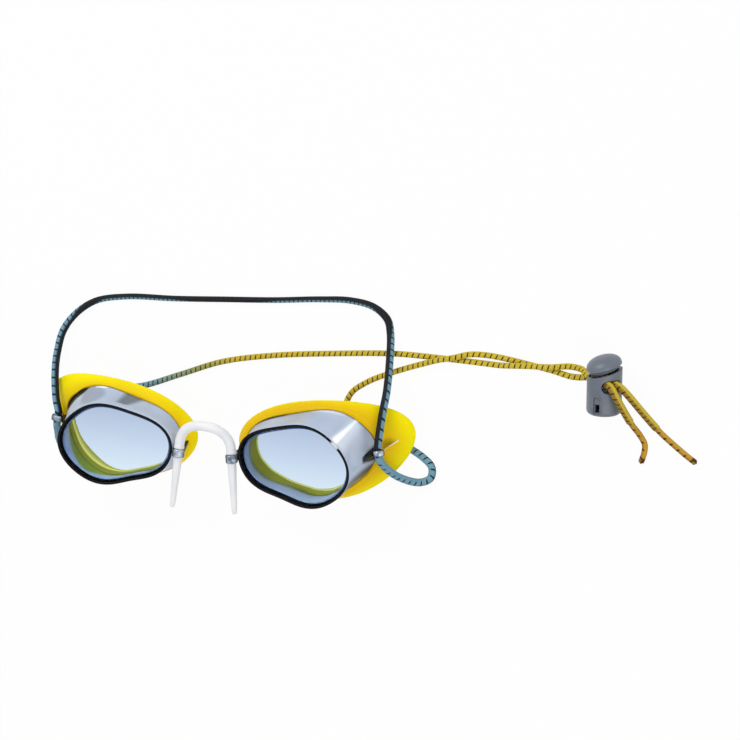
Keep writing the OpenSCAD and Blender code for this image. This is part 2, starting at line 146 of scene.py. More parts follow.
def mix_surfaces(tree, amount, first, second):
    """Sends a mix of two shaders to the material's output."""
    node = add(tree, "ShaderNodeMixShader")
    for socket, source in zip(node.inputs, (amount, first.outputs[0], second.outputs[0])):
        link(source, socket)
    link(node.outputs[0], tree.nodes["Material Output"].inputs[0])


def noise(tree, scale, detail):
    """Cloudy pattern that is fixed to the object."""
    node = add(tree, "ShaderNodeTexNoise", {"Scale": scale, "Detail": detail})
    link(add(tree, "ShaderNodeTexCoord").outputs["Object"], node.inputs["Vector"])
    return node.outputs["Fac"]


def attributes(tree, *names):
    """Values that the mesh's points carry under these names."""
    return [add(tree, "ShaderNodeAttribute", attribute_name=name).outputs["Fac"] for name in names]


def bump(tree, height, strength, distance, shader):
    node = add(tree, "ShaderNodeBump", {"Strength": strength, "Distance": distance})
    link(height, node.inputs["Height"])
    link(node.outputs[0], shader.inputs["Normal"])


def seen_in_picture(tree):
    """1 for the camera's rays, also by way of a mirror or a window."""
    path = add(tree, "ShaderNodeLightPath")
    reached = math_node(tree, "MAXIMUM", path.outputs["Is Glossy Ray"], path.outputs["Is Transmission Ray"])
    return math_node(tree, "MAXIMUM", path.outputs["Is Camera Ray"], reached)


def srgb(r, g, b):
    def one(c):
        c /= 255
        return c / 12.92 if c <= 0.04045 else ((c + 0.055) / 1.055) ** 2.4
    return (one(r), one(g), one(b))


# Materials
def window_glass():
    """Blue tint that deepens towards the brow; shadows and soft light pass straight through."""
    material, tree, shader = new_material("window_tint", {
        "Roughness": 0.03, "IOR": 1.06, "Transmission Weight": 1})
    split = add(tree, "ShaderNodeSeparateXYZ")
    link(add(tree, "ShaderNodeTexCoord").outputs["Object"], split.inputs[0])
    height = add(tree, "ShaderNodeMapRange", {"From Min": -0.031, "From Max": -0.001})
    link(split.outputs[1], height.inputs[0])
    colour = ramp(tree, height.outputs[0],
                  [(0, srgb(230, 247, 255)), (0.5, srgb(205, 223, 244)), (1, srgb(177, 194, 221))])
    link(colour, shader.inputs["Base Color"])
    through = add(tree, "ShaderNodeBsdfTransparent")
    link(colour, through.inputs[0])
    path = add(tree, "ShaderNodeLightPath")
    plain = math_node(tree, "MAXIMUM", path.outputs["Is Shadow Ray"], path.outputs["Is Diffuse Ray"])
    mix_surfaces(tree, plain, shader, through)
    return material


def mirrored_wall():
    """Mirror coat outside, mottled at random, with painted shade and painted highlights that glow; plain blue
    tint inside, painted olive where the seal lies behind it.
    """
    material, tree, shader = new_material("mirrored_wall", {
        "Emission Strength": 1, "Specular IOR Level": 0.15})
    haze = noise(tree, 60, 2)
    glint, shade, inside, olive = attributes(tree, "glint", "shade", "inside", "olive")
    outer = ramp(tree, haze, [(0.3, srgb(180, 194, 216)), (0.66, srgb(198, 212, 236))])
    # Painted highlights from the glint attribute
    outer = mix_colour(tree, glint, outer, srgb(246, 249, 252))
    inner = ramp(tree, haze, [(0.3, srgb(206, 210, 236)), (0.66, srgb(220, 224, 246))])
    inner = mix_colour(tree, olive, inner, srgb(172, 180, 48))
    # Painted shade from the shade attribute, which also carries the black inked front edge
    colour = mix_colour(tree, shade, mix_colour(tree, inside, outer, inner), srgb(10, 12, 14))
    link(colour, shader.inputs["Base Color"])
    # Painted glow where the painted highlights are
    link(mix_colour(tree, glint, (0, 0, 0), srgb(142, 150, 156)), shader.inputs["Emission Color"])
    metal = math_node(tree, "SUBTRACT", 0.25, math_node(tree, "MULTIPLY", inside, 0.25))
    link(metal, shader.inputs["Metallic"])
    rough = add(tree, "ShaderNodeMapRange", {"To Min": 0.26, "To Max": 0.4})
    link(haze, rough.inputs[0])
    link(rough.outputs[0], shader.inputs["Roughness"])
    return material


def clear_lug():
    """Clear moulded plastic, grey-blue and mottled at random, painted dark where it turns away from the eye,
    standing in for the dark edges of clear plastic.
    """
    material, tree, shader = new_material("clear_lug", {"Metallic": 0.3, "Roughness": 0.08})
    facing = add(tree, "ShaderNodeLayerWeight", {"Blend": 0.45}).outputs["Facing"]
    body = ramp(tree, noise(tree, 380, 1), [(0.35, srgb(84, 98, 114)), (0.66, srgb(196, 208, 222))])
    # Painted dark along the edges that turn away from the eye
    edge = ramp(tree, facing, [(0.2, (0, 0, 0)), (0.55, (1, 1, 1))])
    link(mix_colour(tree, edge, body, srgb(24, 28, 34)), shader.inputs["Base Color"])
    return material


def black_gloss():
    material, tree, shader = new_material("rim_black", {"Roughness": 0.22, "Specular IOR Level": 0.14})
    grain = noise(tree, 900, 3)
    colour = ramp(tree, grain, [(0.3, (0.001, 0.001, 0.001)), (0.7, (0.004, 0.004, 0.0045))])
    # Painted highlights, from the glint attribute, turn the black towards white
    glint = attributes(tree, "glint")[0]
    link(mix_colour(tree, glint, colour, srgb(244, 248, 250)), shader.inputs["Base Color"])
    bump(tree, grain, 0.05, 0.0002, shader)
    return material


def clear_fin():
    """Thin clear web painted the yellow of the seal behind it, dimmed as painted shade, with a painted
    highlight along its top edge.
    """
    material, tree, shader = new_material("clear_fin", {"Roughness": 0.15})
    body = ramp(tree, noise(tree, 500, 1), [(0.35, srgb(150, 126, 24)), (0.6, srgb(190, 164, 40))])
    # Painted highlight along the top edge, from the edge attribute
    edge = attributes(tree, "edge")[0]
    link(mix_colour(tree, edge, body, srgb(252, 252, 244)), shader.inputs["Base Color"])
    return material


def seal_rubber():
    """Lemon rubber with painted shade: orange towards the wall and on hidden rows, olive inside the cup, near
    black at marks; its lip is painted paler and glows, and the whole seal glows a little, as painted light.
    """
    material, tree, shader = new_material("seal_rubber", {
        "Emission Strength": 1, "Roughness": 0.5, "Specular IOR Level": 0.08, "Subsurface Weight": 0.1,
        "Subsurface Radius": (0.002, 0.0015, 0.0001), "Subsurface Scale": 0.6})
    painted_orange_shade, lip, shade, inner = attributes(tree, "painted_orange_shade", "lip", "shade", "inner")
    colour = ramp(tree, noise(tree, 30, 2), [(0.3, srgb(253, 232, 0)), (0.7, srgb(255, 240, 0))])
    # Painted shade: orange by the wall and on hidden rows, olive on the rows inside the cup, near black at
    # the shade marks; painted highlight: paler along the lip
    for amount, tone in ((painted_orange_shade, (234, 192, 18)), (inner, (206, 186, 62)), (lip, (255, 246, 130)),
                         (shade, (24, 22, 4))):
        colour = mix_colour(tree, amount, colour, srgb(*tone))
    link(colour, shader.inputs["Base Color"])
    # Painted glow: faint over the whole seal, stronger along the lip
    glow = math_node(tree, "ADD", 0.07, math_node(tree, "MULTIPLY", lip, 0.42))
    link(mix_colour(tree, 1.0, colour, glow, "MULTIPLY"), shader.inputs["Emission Color"])
    bump(tree, noise(tree, 1400, 2), 0.12, 0.0001, shader)
    return material


def bridge_silicone():
    material, tree, shader = new_material("bridge_silicone", {
        "Roughness": 0.42, "Subsurface Weight": 0.5, "Subsurface Radius": (0.002, 0.002, 0.002),
        "Subsurface Scale": 1})
    cloud = noise(tree, 120, 2)
    colour = ramp(tree, cloud, [(0.3, srgb(234, 236, 240)), (0.7, srgb(246, 247, 249))])
    link(colour, shader.inputs["Base Color"])
    bump(tree, cloud, 0.05, 0.0003, shader)
    return material


def lock_plastic(name, low, high):
    material, tree, shader = new_material(name, {"Roughness": 0.4})
    link(ramp(tree, noise(tree, 90, 2), [(0.3, low), (0.7, high)]), shader.inputs["Base Color"])
    bump(tree, noise(tree, 1500, 2), 0.2, 0.0001, shader)
    return material


def spring_wire():
    material, tree, shader = new_material("spring_wire", {"Metallic": 1, "Roughness": 0.3})
    colour = ramp(tree, noise(tree, 2000, 2), [(0.3, (0.5, 0.5, 0.5)), (0.7, (0.7, 0.7, 0.7))])
    link(colour, shader.inputs["Base Color"])
    return material


def braid_group():
    """Woven sleeve: crossing threads as a height, and the dark tracer threads as a mask."""
    tree = bpy.data.node_groups.new("woven_sleeve", "ShaderNodeTree")
    tree.interface.new_socket("Map", in_out="INPUT", socket_type="NodeSocketVector")
    for name in ("Beat", "Pitch", "Threads", "Bar"):
        tree.interface.new_socket(name, in_out="INPUT", socket_type="NodeSocketFloat")
    for name in ("Height", "Tracer"):
        tree.interface.new_socket(name, in_out="OUTPUT", socket_type="NodeSocketFloat")
    start, finish = add(tree, "NodeGroupInput"), add(tree, "NodeGroupOutput")
    split = add(tree, "ShaderNodeSeparateXYZ")
    link(start.outputs["Map"], split.inputs[0])
    around, along = split.outputs[0], split.outputs[1]
    rise = math_node(tree, "DIVIDE", along, start.outputs["Pitch"])
    lay = math_node(tree, "MULTIPLY", around, start.outputs["Threads"])
    waves = [math_node(tree, "SINE", math_node(tree, "MULTIPLY", math_node(tree, kind, rise, lay), TAU))
             for kind in ("ADD", "SUBTRACT")]
    link(math_node(tree, "MULTIPLY", *waves), finish.inputs["Height"])
    turn = math_node(tree, "FRACT", math_node(tree, "ADD", start.outputs["Beat"], around))
    middle = math_node(tree, "ABSOLUTE", math_node(tree, "SUBTRACT", turn, 0.5))
    inside = math_node(tree, "SUBTRACT", start.outputs["Bar"], middle)
    link(math_node(tree, "DIVIDE", inside, 0.06, clamp=True), finish.inputs["Tracer"])
    return tree


def bungee_sleeve():
    """Woven cord; its tint runs from 0 teal over 1 yellow and 2 golden core to 3 sealed tip. A dark stripe
    down one side is painted shade, near black on the teal where it also serves as a tracer, and the weave is
    painted darker in its hollows and lighter on its crests.
    """
    material, tree, shader = new_material("bungee_sleeve", {"Roughness": 0.65, "Specular IOR Level": 0.25})
    tint, dark, beat, tick = attributes(tree, "tint", "dark", "beat", "tick")
    braid = add(tree, "ShaderNodeGroup", node_tree=braid_group())
    set_sockets(braid, {"Pitch": 0.0011, "Threads": 6, "Bar": 0.15})
    link(add(tree, "ShaderNodeUVMap", uv_map="along").outputs[0], braid.inputs["Map"])
    link(beat, braid.inputs["Beat"])
    place = math_node(tree, "DIVIDE", tint, 3.0)
    colour = ramp(tree, place, [
        (0, srgb(122, 168, 190)), (0.2, srgb(160, 166, 92)), (0.333, srgb(222, 194, 58)),
        (0.42, srgb(226, 202, 56)), (0.667, srgb(216, 166, 48)), (0.9, srgb(206, 154, 46)),
        (1, srgb(84, 40, 18))])
    thread = ramp(tree, place, [(0, srgb(8, 20, 30)), (0.333, srgb(52, 34, 10)), (1, srgb(44, 20, 6))])
    # Painted shade down the dark side: near black on the teal, ochre on the yellow
    backs = ramp(tree, place, [
        (0.05, srgb(6, 9, 16)), (0.333, srgb(152, 120, 42)), (0.667, srgb(176, 132, 44))])
    # Painted shade in the weave's hollows and painted highlight on its crests
    shade = add(tree, "ShaderNodeMapRange", {"From Min": -1, "From Max": 1, "To Min": 0.7, "To Max": 1.12})
    link(braid.outputs["Height"], shade.inputs[0])
    colour = mix_colour(tree, dark, colour, backs)
    colour = mix_colour(tree, math_node(tree, "MULTIPLY", braid.outputs["Tracer"], tick), colour, thread)
    colour = mix_colour(tree, 1.0, colour, shade.outputs[0], "MULTIPLY")
    link(colour, shader.inputs["Base Color"])
    bump(tree, braid.outputs["Height"], 0.5, 0.00012, shader)
    return material


def white_floor():
    """Bright floor in the picture that still throws light on the goggles as plain paper does."""
    material, tree, shader = new_material("pale_floor", {
        "Base Color": (0.9, 0.9, 0.9, 1), "Roughness": 0.9, "Specular IOR Level": 0})
    amount = math_node(tree, "MULTIPLY", seen_in_picture(tree), 0.95)
    mix_surfaces(tree, amount, shader, add(tree, "ShaderNodeEmission", {"Strength": 1.0}))
    return material


sleeve, glass, mirror = bungee_sleeve(), window_glass(), mirrored_wall()
black, clear, fin = black_gloss(), clear_lug(), clear_fin()
rubber, silicone, steel = seal_rubber(), bridge_silicone(), spring_wire()
grey = lock_plastic("lock_plastic", srgb(98, 106, 118), srgb(114, 122, 134))
# Near-black copy of the lock plastic: painted shade for the plunger inside the barrel
shadow_plastic = lock_plastic("plunger_plastic", srgb(18, 19, 22), srgb(30, 31, 35))


# Mesh helpers
SIX_SIDES = [(0, 1, 2, 3), (4, 5, 6, 7), (0, 1, 5, 4), (1, 2, 6, 5), (2, 3, 7, 6), (3, 0, 4, 7)]


def mesh_piece(name, points, faces, smooth=True):
    mesh = bpy.data.meshes.new(name)
    mesh.from_pydata([tuple(p) for p in points], [], [tuple(f) for f in faces])
    mesh.update()
    piece = bpy.data.objects.new(name, mesh)
    bpy.context.collection.objects.link(piece)
    if smooth:
        mesh.shade_smooth()
    return piece


def turn_out(piece, merge=False):
    """Turns every face outward, and joins points that coincide if asked."""
    work = bmesh.new()
    work.from_mesh(piece.data)
    if merge:
        bmesh.ops.remove_doubles(work, verts=work.verts, dist=1e-7)
    bmesh.ops.recalc_face_normals(work, faces=work.faces)
    work.to_mesh(piece.data)
    work.free()
    return piece


def loft_faces(rows, columns, closed_rows=False):
    faces = []
    for j in range(rows if closed_rows else rows - 1):
        k = (j + 1) % rows
        for i in range(columns):
            n = (i + 1) % columns
            faces.append((j * columns + i, j * columns + n, k * columns + n, k * columns + i))
    return faces


def loft(name, sections, closed_rows=True, caps=False):
    """Skin over sections of equal count, each a closed loop of points."""
    rows, columns = len(sections), len(sections[0])
    faces = loft_faces(rows, columns, closed_rows)
    if caps:
        faces.append(tuple(range(columns)))
        faces.append(tuple((rows - 1) * columns + i for i in range(columns)))
    return turn_out(mesh_piece(name, np.concatenate(sections), faces), merge=True)


def circle(radius, height, sides):
    angle = np.arange(sides) * TAU / sides
    return np.stack([radius * np.cos(angle), radius * np.sin(angle), np.full(sides, height)], -1)


def tube_rings(centre, radius, above_way, sides):
    """Ring of points round each point of a line, which starts on the side of above_way."""
    tangent = np.gradient(centre, axis=0)
    tangent /= np.linalg.norm(tangent, axis=1)[:, None]
    side = np.cross(tangent, above_way)
    side /= np.linalg.norm(side, axis=1)[:, None]
    above = np.cross(side, tangent)
    angle = np.arange(sides) * TAU / sides
    return centre[:, None, :] + radius[:, None, None] * (
        np.cos(angle)[None, :, None] * above[:, None, :] + np.sin(angle)[None, :, None] * side[:, None, :])


def mark_points(piece, name, values):
    layer = piece.data.attributes.new(name, "FLOAT", "POINT")
    layer.data.foreach_set("value", np.asarray(values, np.float32).ravel())


def apply_modifiers(piece):
    bpy.context.view_layer.update()
    graph = bpy.context.evaluated_depsgraph_get()
    mesh = bpy.data.meshes.new_from_object(piece.evaluated_get(graph))
    piece.modifiers.clear()
    piece.data = mesh


def bevel_edges(piece, width, segments=2, degrees=35):
    """Bevel on the edges that are sharper than this angle, as wide as this in the mesh's own units."""
    bevel = piece.modifiers.new("soft_edges", "BEVEL")
    bevel.width = width
    bevel.segments = segments
    bevel.limit_method = "ANGLE"
    bevel.angle_limit = math.radians(degrees)
    apply_modifiers(piece)
    piece.data.shade_smooth()


def dress(piece, material, body, slot, *nodes):
    piece.data.materials.clear()
    piece.data.materials.append(material)
    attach(piece, body)
    if nodes:
        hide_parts(*nodes)


# Strap
# Route points of the cord's centre in millimetres, with the radius there
SLACK, THIN = 1.45, 1.1
SLEEVE_END, EVEN_END = 1.4, 12  # radius of the sleeve near its end, and for how long
CORD_SIDES = 20
arch_left = [
    (-103.8, -8.5, 18.4, SLACK), (-103.4, -6.4, 18.7, SLACK), (-105.7, -1.5, 17.2, SLACK),
    (-109.6, 8, 12.4, SLACK), (-113, 16.9, 5.4, SLACK), (-113.2, 25.4, 1.7, SLACK),
    (-108.5, 32.5, 1.4, 1.35), (-101, 37.8, 1.3, 1.25), (-88.5, 40.5, 1.15, 1.15),
    (-68, 41.5, 1.1, THIN), (-47.5, 43, 1.1, THIN),
]
arch_right = [
    (-47.5, 43, 1.1, THIN), (-27.5, 44.5, 1.1, THIN), (-9, 46.4, 1.15, 1.15),
    (3, 47, 1.3, 1.25), (12.5, 45.4, 1.4, 1.35), (18.5, 41.2, 1.5, SLACK),
    (20.6, 36, 2.4, SLACK), (22.8, 26, 6.2, SLACK),
    (25.4, 14.5, 13, SLACK), (26.3, 5.5, 17.6, SLACK), (26.4, -6.4, 18.7, SLACK),
    (26.8, -8.5, 18.4, SLACK),
]
rear_left = [
    (-103.8, -8.5, 18.4, SLACK), (-103.9, -10.5, 18, SLACK), (-105.3, -13.7, 13.4, 1.4),
    (-107.5, -16.2, 7.4, 1.35), (-108.2, -18.2, 3.2, 1.35), (-106.3, -19.6, 1.5, 1.35),
    (-104, -18, 1.4, 1.35), (-104.3, -14, 1.4, 1.4), (-107.2, -9.3, 1.4, 1.4),
    (-105.4, -3.4, 1.4, 1.4), (-99.6, 1.4, 1.4, 1.4), (-90, 4.8, 1.4, 1.35),
    (-77.5, 7.2, 1.2, 1.2), (-62.5, 13, 1.1, THIN),
    (-46, 19.4, 1.1, THIN), (-26, 23.6, 1.1, THIN), (0, 26.8, 1.1, THIN),
    (24, 28.9, 1.1, THIN), (46.5, 28.8, 1.1, THIN),
]
rear_right = [
    (26.8, -8.5, 18.4, SLACK), (27.2, -10.6, 18.1, SLACK), (29.2, -14, 13.9, SLACK),
    (33, -16.8, 7.6, SLACK), (38.4, -17.6, 2.5, SLACK), (42, -15.6, 1.5, SLACK),
    (42, -11.6, 1.4, 1.4), (38, -8.2, 1.4, 1.4), (28, -3.8, 1.4, 1.4),
    (15, -0.8, 1.3, 1.3), (8, 2, 1.2, 1.2), (5.6, 7, 1.2, 1.15), (7.2, 12.6, 1.1, THIN),
    (13, 17.3, 1.1, THIN), (24, 22.4, 1.1, THIN),
    (36.5, 26.8, 2.4, THIN), (41, 28.1, 3.4, THIN), (46.5, 29.4, 3.5, THIN),
]
pair_a = [
    (46.5, 28.8, 1.1, THIN), (60, 28.5, 1.1, THIN), (64, 28.4, 1.4, THIN), (70, 28.7, 2.9, THIN),
    (76, 29.1, 3.4, THIN), (84, 29.5, 3.5, THIN), (91, 30.5, 1.8, 1.15), (95.5, 29.9, 2, 1.2),
    (98.9, 27.9, 4.3, 1.3), (105.5, 25.9, 10.2, 1.4),
]
pair_b = [
    (46.5, 29.4, 3.5, THIN), (52, 31.2, 2.4, THIN), (60, 31.6, 1.1, THIN),
    (84, 28.4, 1.1, THIN), (92, 26.9, 1.2, 1.15), (97.5, 27.3, 1.3, 1.2),
    (101.1, 28.4, 2, 1.3), (107.7, 26.5, 8.2, 1.4),
]
tail_a = [
    (105.5, 25.9, 10.2, 1.4), (109.9, 24.6, 14.4, 1.4), (111.6, 23.2, 15.5, 1.4),
    (113.2, 20.6, 14.9, 1.4), (115, 17, 11.8, 1.4), (117.6, 11.8, 6.4, 1.4),
]
tail_b = [
    (107.7, 26.5, 8.2, 1.4), (112.1, 25.2, 12.4, 1.4), (114.3, 24.2, 13.4, 1.4),
    (116.6, 22.2, 12.7, 1.4), (122.5, 15.2, 6.4, 1.4), (126.2, 11.2, 3.1, 1.4),
]
end_a = [
    (117.6, 11.8, 6.4, THIN), (120, 8.4, 2.9, THIN), (121.8, 5.2, 1.3, THIN),
    (121.9, 2.1, 1.1, THIN), (120.9, -2, 1.1, THIN),
]
end_b = [
    (126.2, 11.2, 3.1, THIN), (128.5, 9.1, 1.9, THIN),
    (136.7, 3.3, 1.1, THIN), (141.7, 0.2, 1.1, THIN),
]


def between(t, start, end, a, b):
    return (end - t) / (end - start) * a + (t - start) / (end - start) * b


def smooth_line(route, step=0.7, fine=0.25):
    """Even points on a smooth curve through the route, as x, y, z, radius, and how far along each lies."""
    p = np.array(route, float)
    p = np.vstack([2 * p[0] - p[1], p, 2 * p[-1] - p[-2]])
    out = []
    for i in range(1, len(p) - 2):
        a, b, c, d = p[i - 1:i + 3]
        gaps = [math.sqrt(np.linalg.norm((far - near)[:3]) + 1e-9) for near, far in ((a, b), (b, c), (c, d))]
        t0, t1, t2, t3 = np.cumsum([0, *gaps])
        count = max(6, int(np.linalg.norm((c - b)[:3]) / fine))
        for t in np.linspace(t1, t2, count, endpoint=False):
            ab, bc, cd = between(t, t0, t1, a, b), between(t, t1, t2, b, c), between(t, t2, t3, c, d)
            out.append(between(t, t1, t2, between(t, t0, t2, ab, bc), between(t, t1, t3, bc, cd)))
    out = np.array(out + [p[-2]])
    along = np.concatenate([[0], np.cumsum(np.linalg.norm(np.diff(out[:, :3], axis=0), axis=1))])
    places = np.linspace(0, along[-1], max(4, int(along[-1] / step)) + 1)
    line = np.stack([np.interp(places, along, out[:, k]) for k in range(4)], -1)
    line[:, 2] = np.maximum(line[:, 2], line[:, 3])
    return line, places


def nearest_row(line, place):
    """Row of the line that lies nearest to this point of its route."""
    return int(np.argmin(np.linalg.norm(line[:, :3] - place[:3], axis=1)))


def sweep(name, line, along, rows, tip=False):
    """Tube along these rows of a line, with its own map: once round it, and metres along it.

    A tip is rounded off over the last millimetre."""
    radius, sides = line[:, 3], CORD_SIDES
    if tip:
        last = np.clip(along[-1] - along, 0, 1)
        radius = radius * np.clip(np.sqrt(1 - (1 - last) ** 2), 0.02, 1)
    rings, along = tube_rings(line[:, :3], radius, (0, 0, 1.0), sides)[rows], along[rows] * MM
    count = len(rings)
    faces, maps = [], []
    for j in range(count - 1):
        for i in range(sides):
            n = (i + 1) % sides
            faces.append((j * sides + i, (j + 1) * sides + i, (j + 1) * sides + n, j * sides + n))
            left, right, low, high = i / sides, (i + 1) / sides, along[j], along[j + 1]
            maps.append(((left, low), (left, high), (right, high), (right, low)))
    faces += [tuple(range(sides)), tuple((count - 1) * sides + i for i in reversed(range(sides)))]
    maps += [((0.5, end),) * sides for end in (along[0], along[-1])]
    piece = mesh_piece(name, rings.reshape(-1, 3) * MM, faces)
    for end in list(piece.data.polygons)[-2:]:
        end.use_smooth = False
    layer = piece.data.uv_layers.new(name="along")
    layer.data.foreach_set("uv", np.array([c for f in maps for uv in f for c in uv], np.float32))
    return piece


def steps(places, values):
    """Value at each place from (place, value) pairs, straight between them."""
    return np.interp(places, [p for p, _ in values], [v for _, v in values])


def stripe(along, look, kind):
    """How strongly a soft-edged stripe of the sleeve covers each point of each ring."""
    turn, soft = np.arange(CORD_SIDES) / CORD_SIDES, 0.05
    middle, half = steps(along, look[kind + "_turn"]), steps(along, look[kind + "_width"])
    off = np.abs((turn[None, :] - middle[:, None] + 0.5) % 1 - 0.5)
    return np.clip((half[:, None] - off) / soft + 0.5, 0, 1)


def mark_sleeve(piece, along, look, rows):
    """Colour place, dark side of painted shade, thread count and place of the tracer threads at each point.
    """
    pitch = steps(along, look["pitch"])
    beat = np.concatenate([[0], np.cumsum(np.diff(along) / ((pitch[1:] + pitch[:-1]) / 2))])
    mark_points(piece, "tint", np.repeat(steps(along, look["tint"])[rows], CORD_SIDES))
    mark_points(piece, "dark", stripe(along, look, "dark")[rows])
    mark_points(piece, "beat", np.repeat(beat[rows], CORD_SIDES))
    mark_points(piece, "tick", stripe(along, look, "tick")[rows])


def make_cord(name, route, look, nodes, bodies, start, end, far_end, first=None, last=None):
    """One stretch of the bungee, from first to last on its route."""
    line, along = smooth_line(route)
    drawn = look(along[-1])
    if "core" in drawn:
        core_from = along[-1] - drawn["core"]
        line[along > core_from - EVEN_END, 3] = SLEEVE_END
        line[along > core_from, 3] = THIN
    rows = slice(first and nearest_row(line, first), last and nearest_row(line, last) + 1)
    piece = sweep(name, line, along, rows, tip=far_end == "bare")
    mark_sleeve(piece, along, drawn, rows)
    piece.data.materials.append(sleeve)
    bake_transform(piece)
    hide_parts(*nodes)


# Looks of the sleeve, whose dark stripe is painted shade: (millimetres along, value) pairs, with turns from 0
# to 1 round the cord
def front_look(side, top):
    """Teal sleeve whose black side, tracer and painted shade in one, faces the goggles at the loops and turns
    up along the arch.
    """
    return lambda end: {
        "tint": [(0, 0), (end, 0)],
        "dark_turn": [(0, side), (46, side), (62, top), (end, top)],
        "dark_width": [(0, 0.25), (50, 0.25), (62, 0.22), (end - 22, 0.22), (end - 8, 0.42), (end, 0.42)],
        "tick_turn": [(0, 0.5), (end, 0.5)], "tick_width": [(0, 1), (end, 1)],
        "pitch": [(0, 3.7), (22, 3.7), (50, 2.1), (62, 1.7), (end, 1.9)]}


def rear_look(teal, yellow, bare):
    """Sleeve that fades from teal to yellow, with a stripe of painted shade down its dark side, and ends in a
    thin golden core with a sealed brown tip.
    """
    return lambda end: {
        "core": bare,
        "tint": [(0, 0), (teal, 0), (yellow, 1), (end - bare - 0.4, 1.2), (end - bare + 0.4, 2),
                 (end - 3.2, 2), (end - 2.2, 3), (end, 3)],
        "dark_turn": [(0, 0.36), (36, 0.36), (60, 0.5), (end - 60, 0.5), (end - 44, 0.2), (end, 0.2)],
        "dark_width": [(0, 0.15), (36, 0.15), (50, 0.02), (end - 56, 0.02), (end - 44, 0.25),
                       (end - bare, 0.25), (end - bare + 0.5, 0.2), (end, 0.2)],
        "tick_turn": [(0, 0.12), (34, 0.12), (50, 0.04), (end - 60, 0.04), (end - 48, 0.1), (end, 0.1)],
        "tick_width": [(0, 0.15), (end - 60, 0.15), (end - 48, 0.14), (end - bare, 0.14),
                       (end - bare + 1, 0.12), (end, 0.12)],
        "pitch": [(0, 2.6), (30, 2.4), (70, 2.0), (end - 90, 2.3), (end - 60, 2), (end - bare, 2),
                  (end - bare + 1, 3.2), (end, 3.2)]}


def make_rear_cord(side, rear, pair, tail, tip, look, nodes, lift):
    """A cord end from its eyelet, in three pieces."""
    route = rear + pair[1:] + tail[1:] + tip[1:]
    make_cord(f"bungee_rear_{side}", route, look, nodes[:1], ("bridge", f"{side}_cup"), *lift, "object",
              last=pair[0])
    make_cord(f"bungee_pair_{side}", route, look, nodes[1:2], ("bridge", "lock"), pair[-5][:3], pair[-2][:3],
              "object", first=pair[0], last=pair[-1])
    make_cord(f"bungee_tail_{side}", route, look, nodes[2:], ("lock", "bridge"), tail[1][:3], tip[-2][:3],
              "bare", first=pair[-1])


make_cord("bungee_front_left", arch_left, front_look(0.31, -0.15), ["strap_arch_left"],
          ("bridge", "left_cup"), (-113, 22, 2), (-113, -2, 17), "object")
make_cord("bungee_front_right", arch_right[::-1], front_look(0.83, 1.15), ["strap_arch_right"],
          ("bridge", "right_cup"), (24, 36, 3), (24, 4, 17), "object")
make_rear_cord("left", rear_left, pair_a, tail_a, end_a, rear_look(72, 112, 17.6),
               ["strap_rear_left", "strap_pair_a", "strap_tail_a", "tail_end_a"],
               ((-100, -17, 6), (-106, -17, 17)))
make_rear_cord("right", rear_right, pair_b, tail_b, end_b, rear_look(46, 72, 19.6),
               ["strap_rear_right", "strap_pair_b", "strap_tail_b", "tail_end_b"],
               ((27, -8, 7), (27, -12, 17)))


# Cups
# Outlines: length, height, shift, rise, seven fullness terms of the curve and two of its waves
LENS = (43, 31, (-0.27, -0.58), 0,
        (0.0189, 0.0158, -0.0081, -0.0142, 0.0273, 0.0043, 0.0149), (0.0045, 0.0006))
BASE = (48, 35, (0.25, 0.4), 2.2, (0.0265, 0.0175, -0.005, 0.0025, 0.019, 0.0075, 0.0105), (0.0055, -0.0025))
SEAL = (62.6, 38.8, (3.6, 2.4), 2.2, (0.018, 0.015, -0.003, 0.016, 0.014, 0.0125, 0.0045), (0, 0))
RIM_OUT, RIM_IN = 0.6, -0.35
WALL, LEDGE, SKIRT = 1.5, 1.6, 1.4
COLUMNS, WALL_ROWS = 192, 26
TURNS = np.arange(COLUMNS) * TAU / COLUMNS
CUP_HALF, CUP_OFFSET, CUP_TURN, LEAN = 24, 36.1, math.radians(4.9), math.radians(20)
GOGGLES_AT = np.array((-38.5, -16.0, 27.6))


def outline(shape):
    """Closed loop of this shape, with a point at each turn."""
    length, height, shift, rise, full, wave = shape
    t = TURNS
    x = shift[0] + length / 2 * np.cos(t) + length * (
        full[0] * np.sin(2 * t) + full[1] * np.cos(3 * t) + full[2] * np.sin(3 * t))
    y = shift[1] + rise * np.cos(t) + height / 2 * np.sin(t) + length * (
        full[3] * np.cos(2 * t) + full[4] * np.sin(2 * t) + full[5] * np.cos(3 * t) + full[6] * np.sin(3 * t))
    x += length * (wave[0] * (np.cos(4 * t) + np.cos(6 * t)) + wave[1] * (np.sin(4 * t) + np.sin(6 * t)))
    y += length * (wave[0] * (np.sin(6 * t) - np.sin(4 * t)) + wave[1] * (np.cos(4 * t) - np.cos(6 * t)))
    return np.stack([x, y], -1)


def grown(loop, far):
    """The loop moved outward by far, which may differ along it."""
    step = np.roll(loop, -1, 0) - np.roll(loop, 1, 0)
    out = np.stack([step[:, 1], -step[:, 0]], -1)
    out /= np.linalg.norm(out, axis=1)[:, None]
    return loop + out * (np.asarray(far)[..., None] if np.ndim(far) else far)


lens_loop, base_loop, seal_loop = outline(LENS), outline(BASE), outline(SEAL)
cheek = 1.3 * np.maximum(0, np.cos(TURNS - math.radians(222))) ** 10
seal_loop += cheek[:, None] * np.stack([np.cos(TURNS), np.sin(TURNS)], -1)


def cup_back(x):
    """How deep the back of the cup's wall lies, deeper towards the temple."""
    u = x / CUP_HALF
    return 11.8 + 4.8 * u + 0.9 * u * u


def flange_back(x):
    """How deep the outer edge of the seal's flange lies."""
    u = x / CUP_HALF
    return cup_back(x) + 2.9 + 0.8 * u + 1.75 * u * u


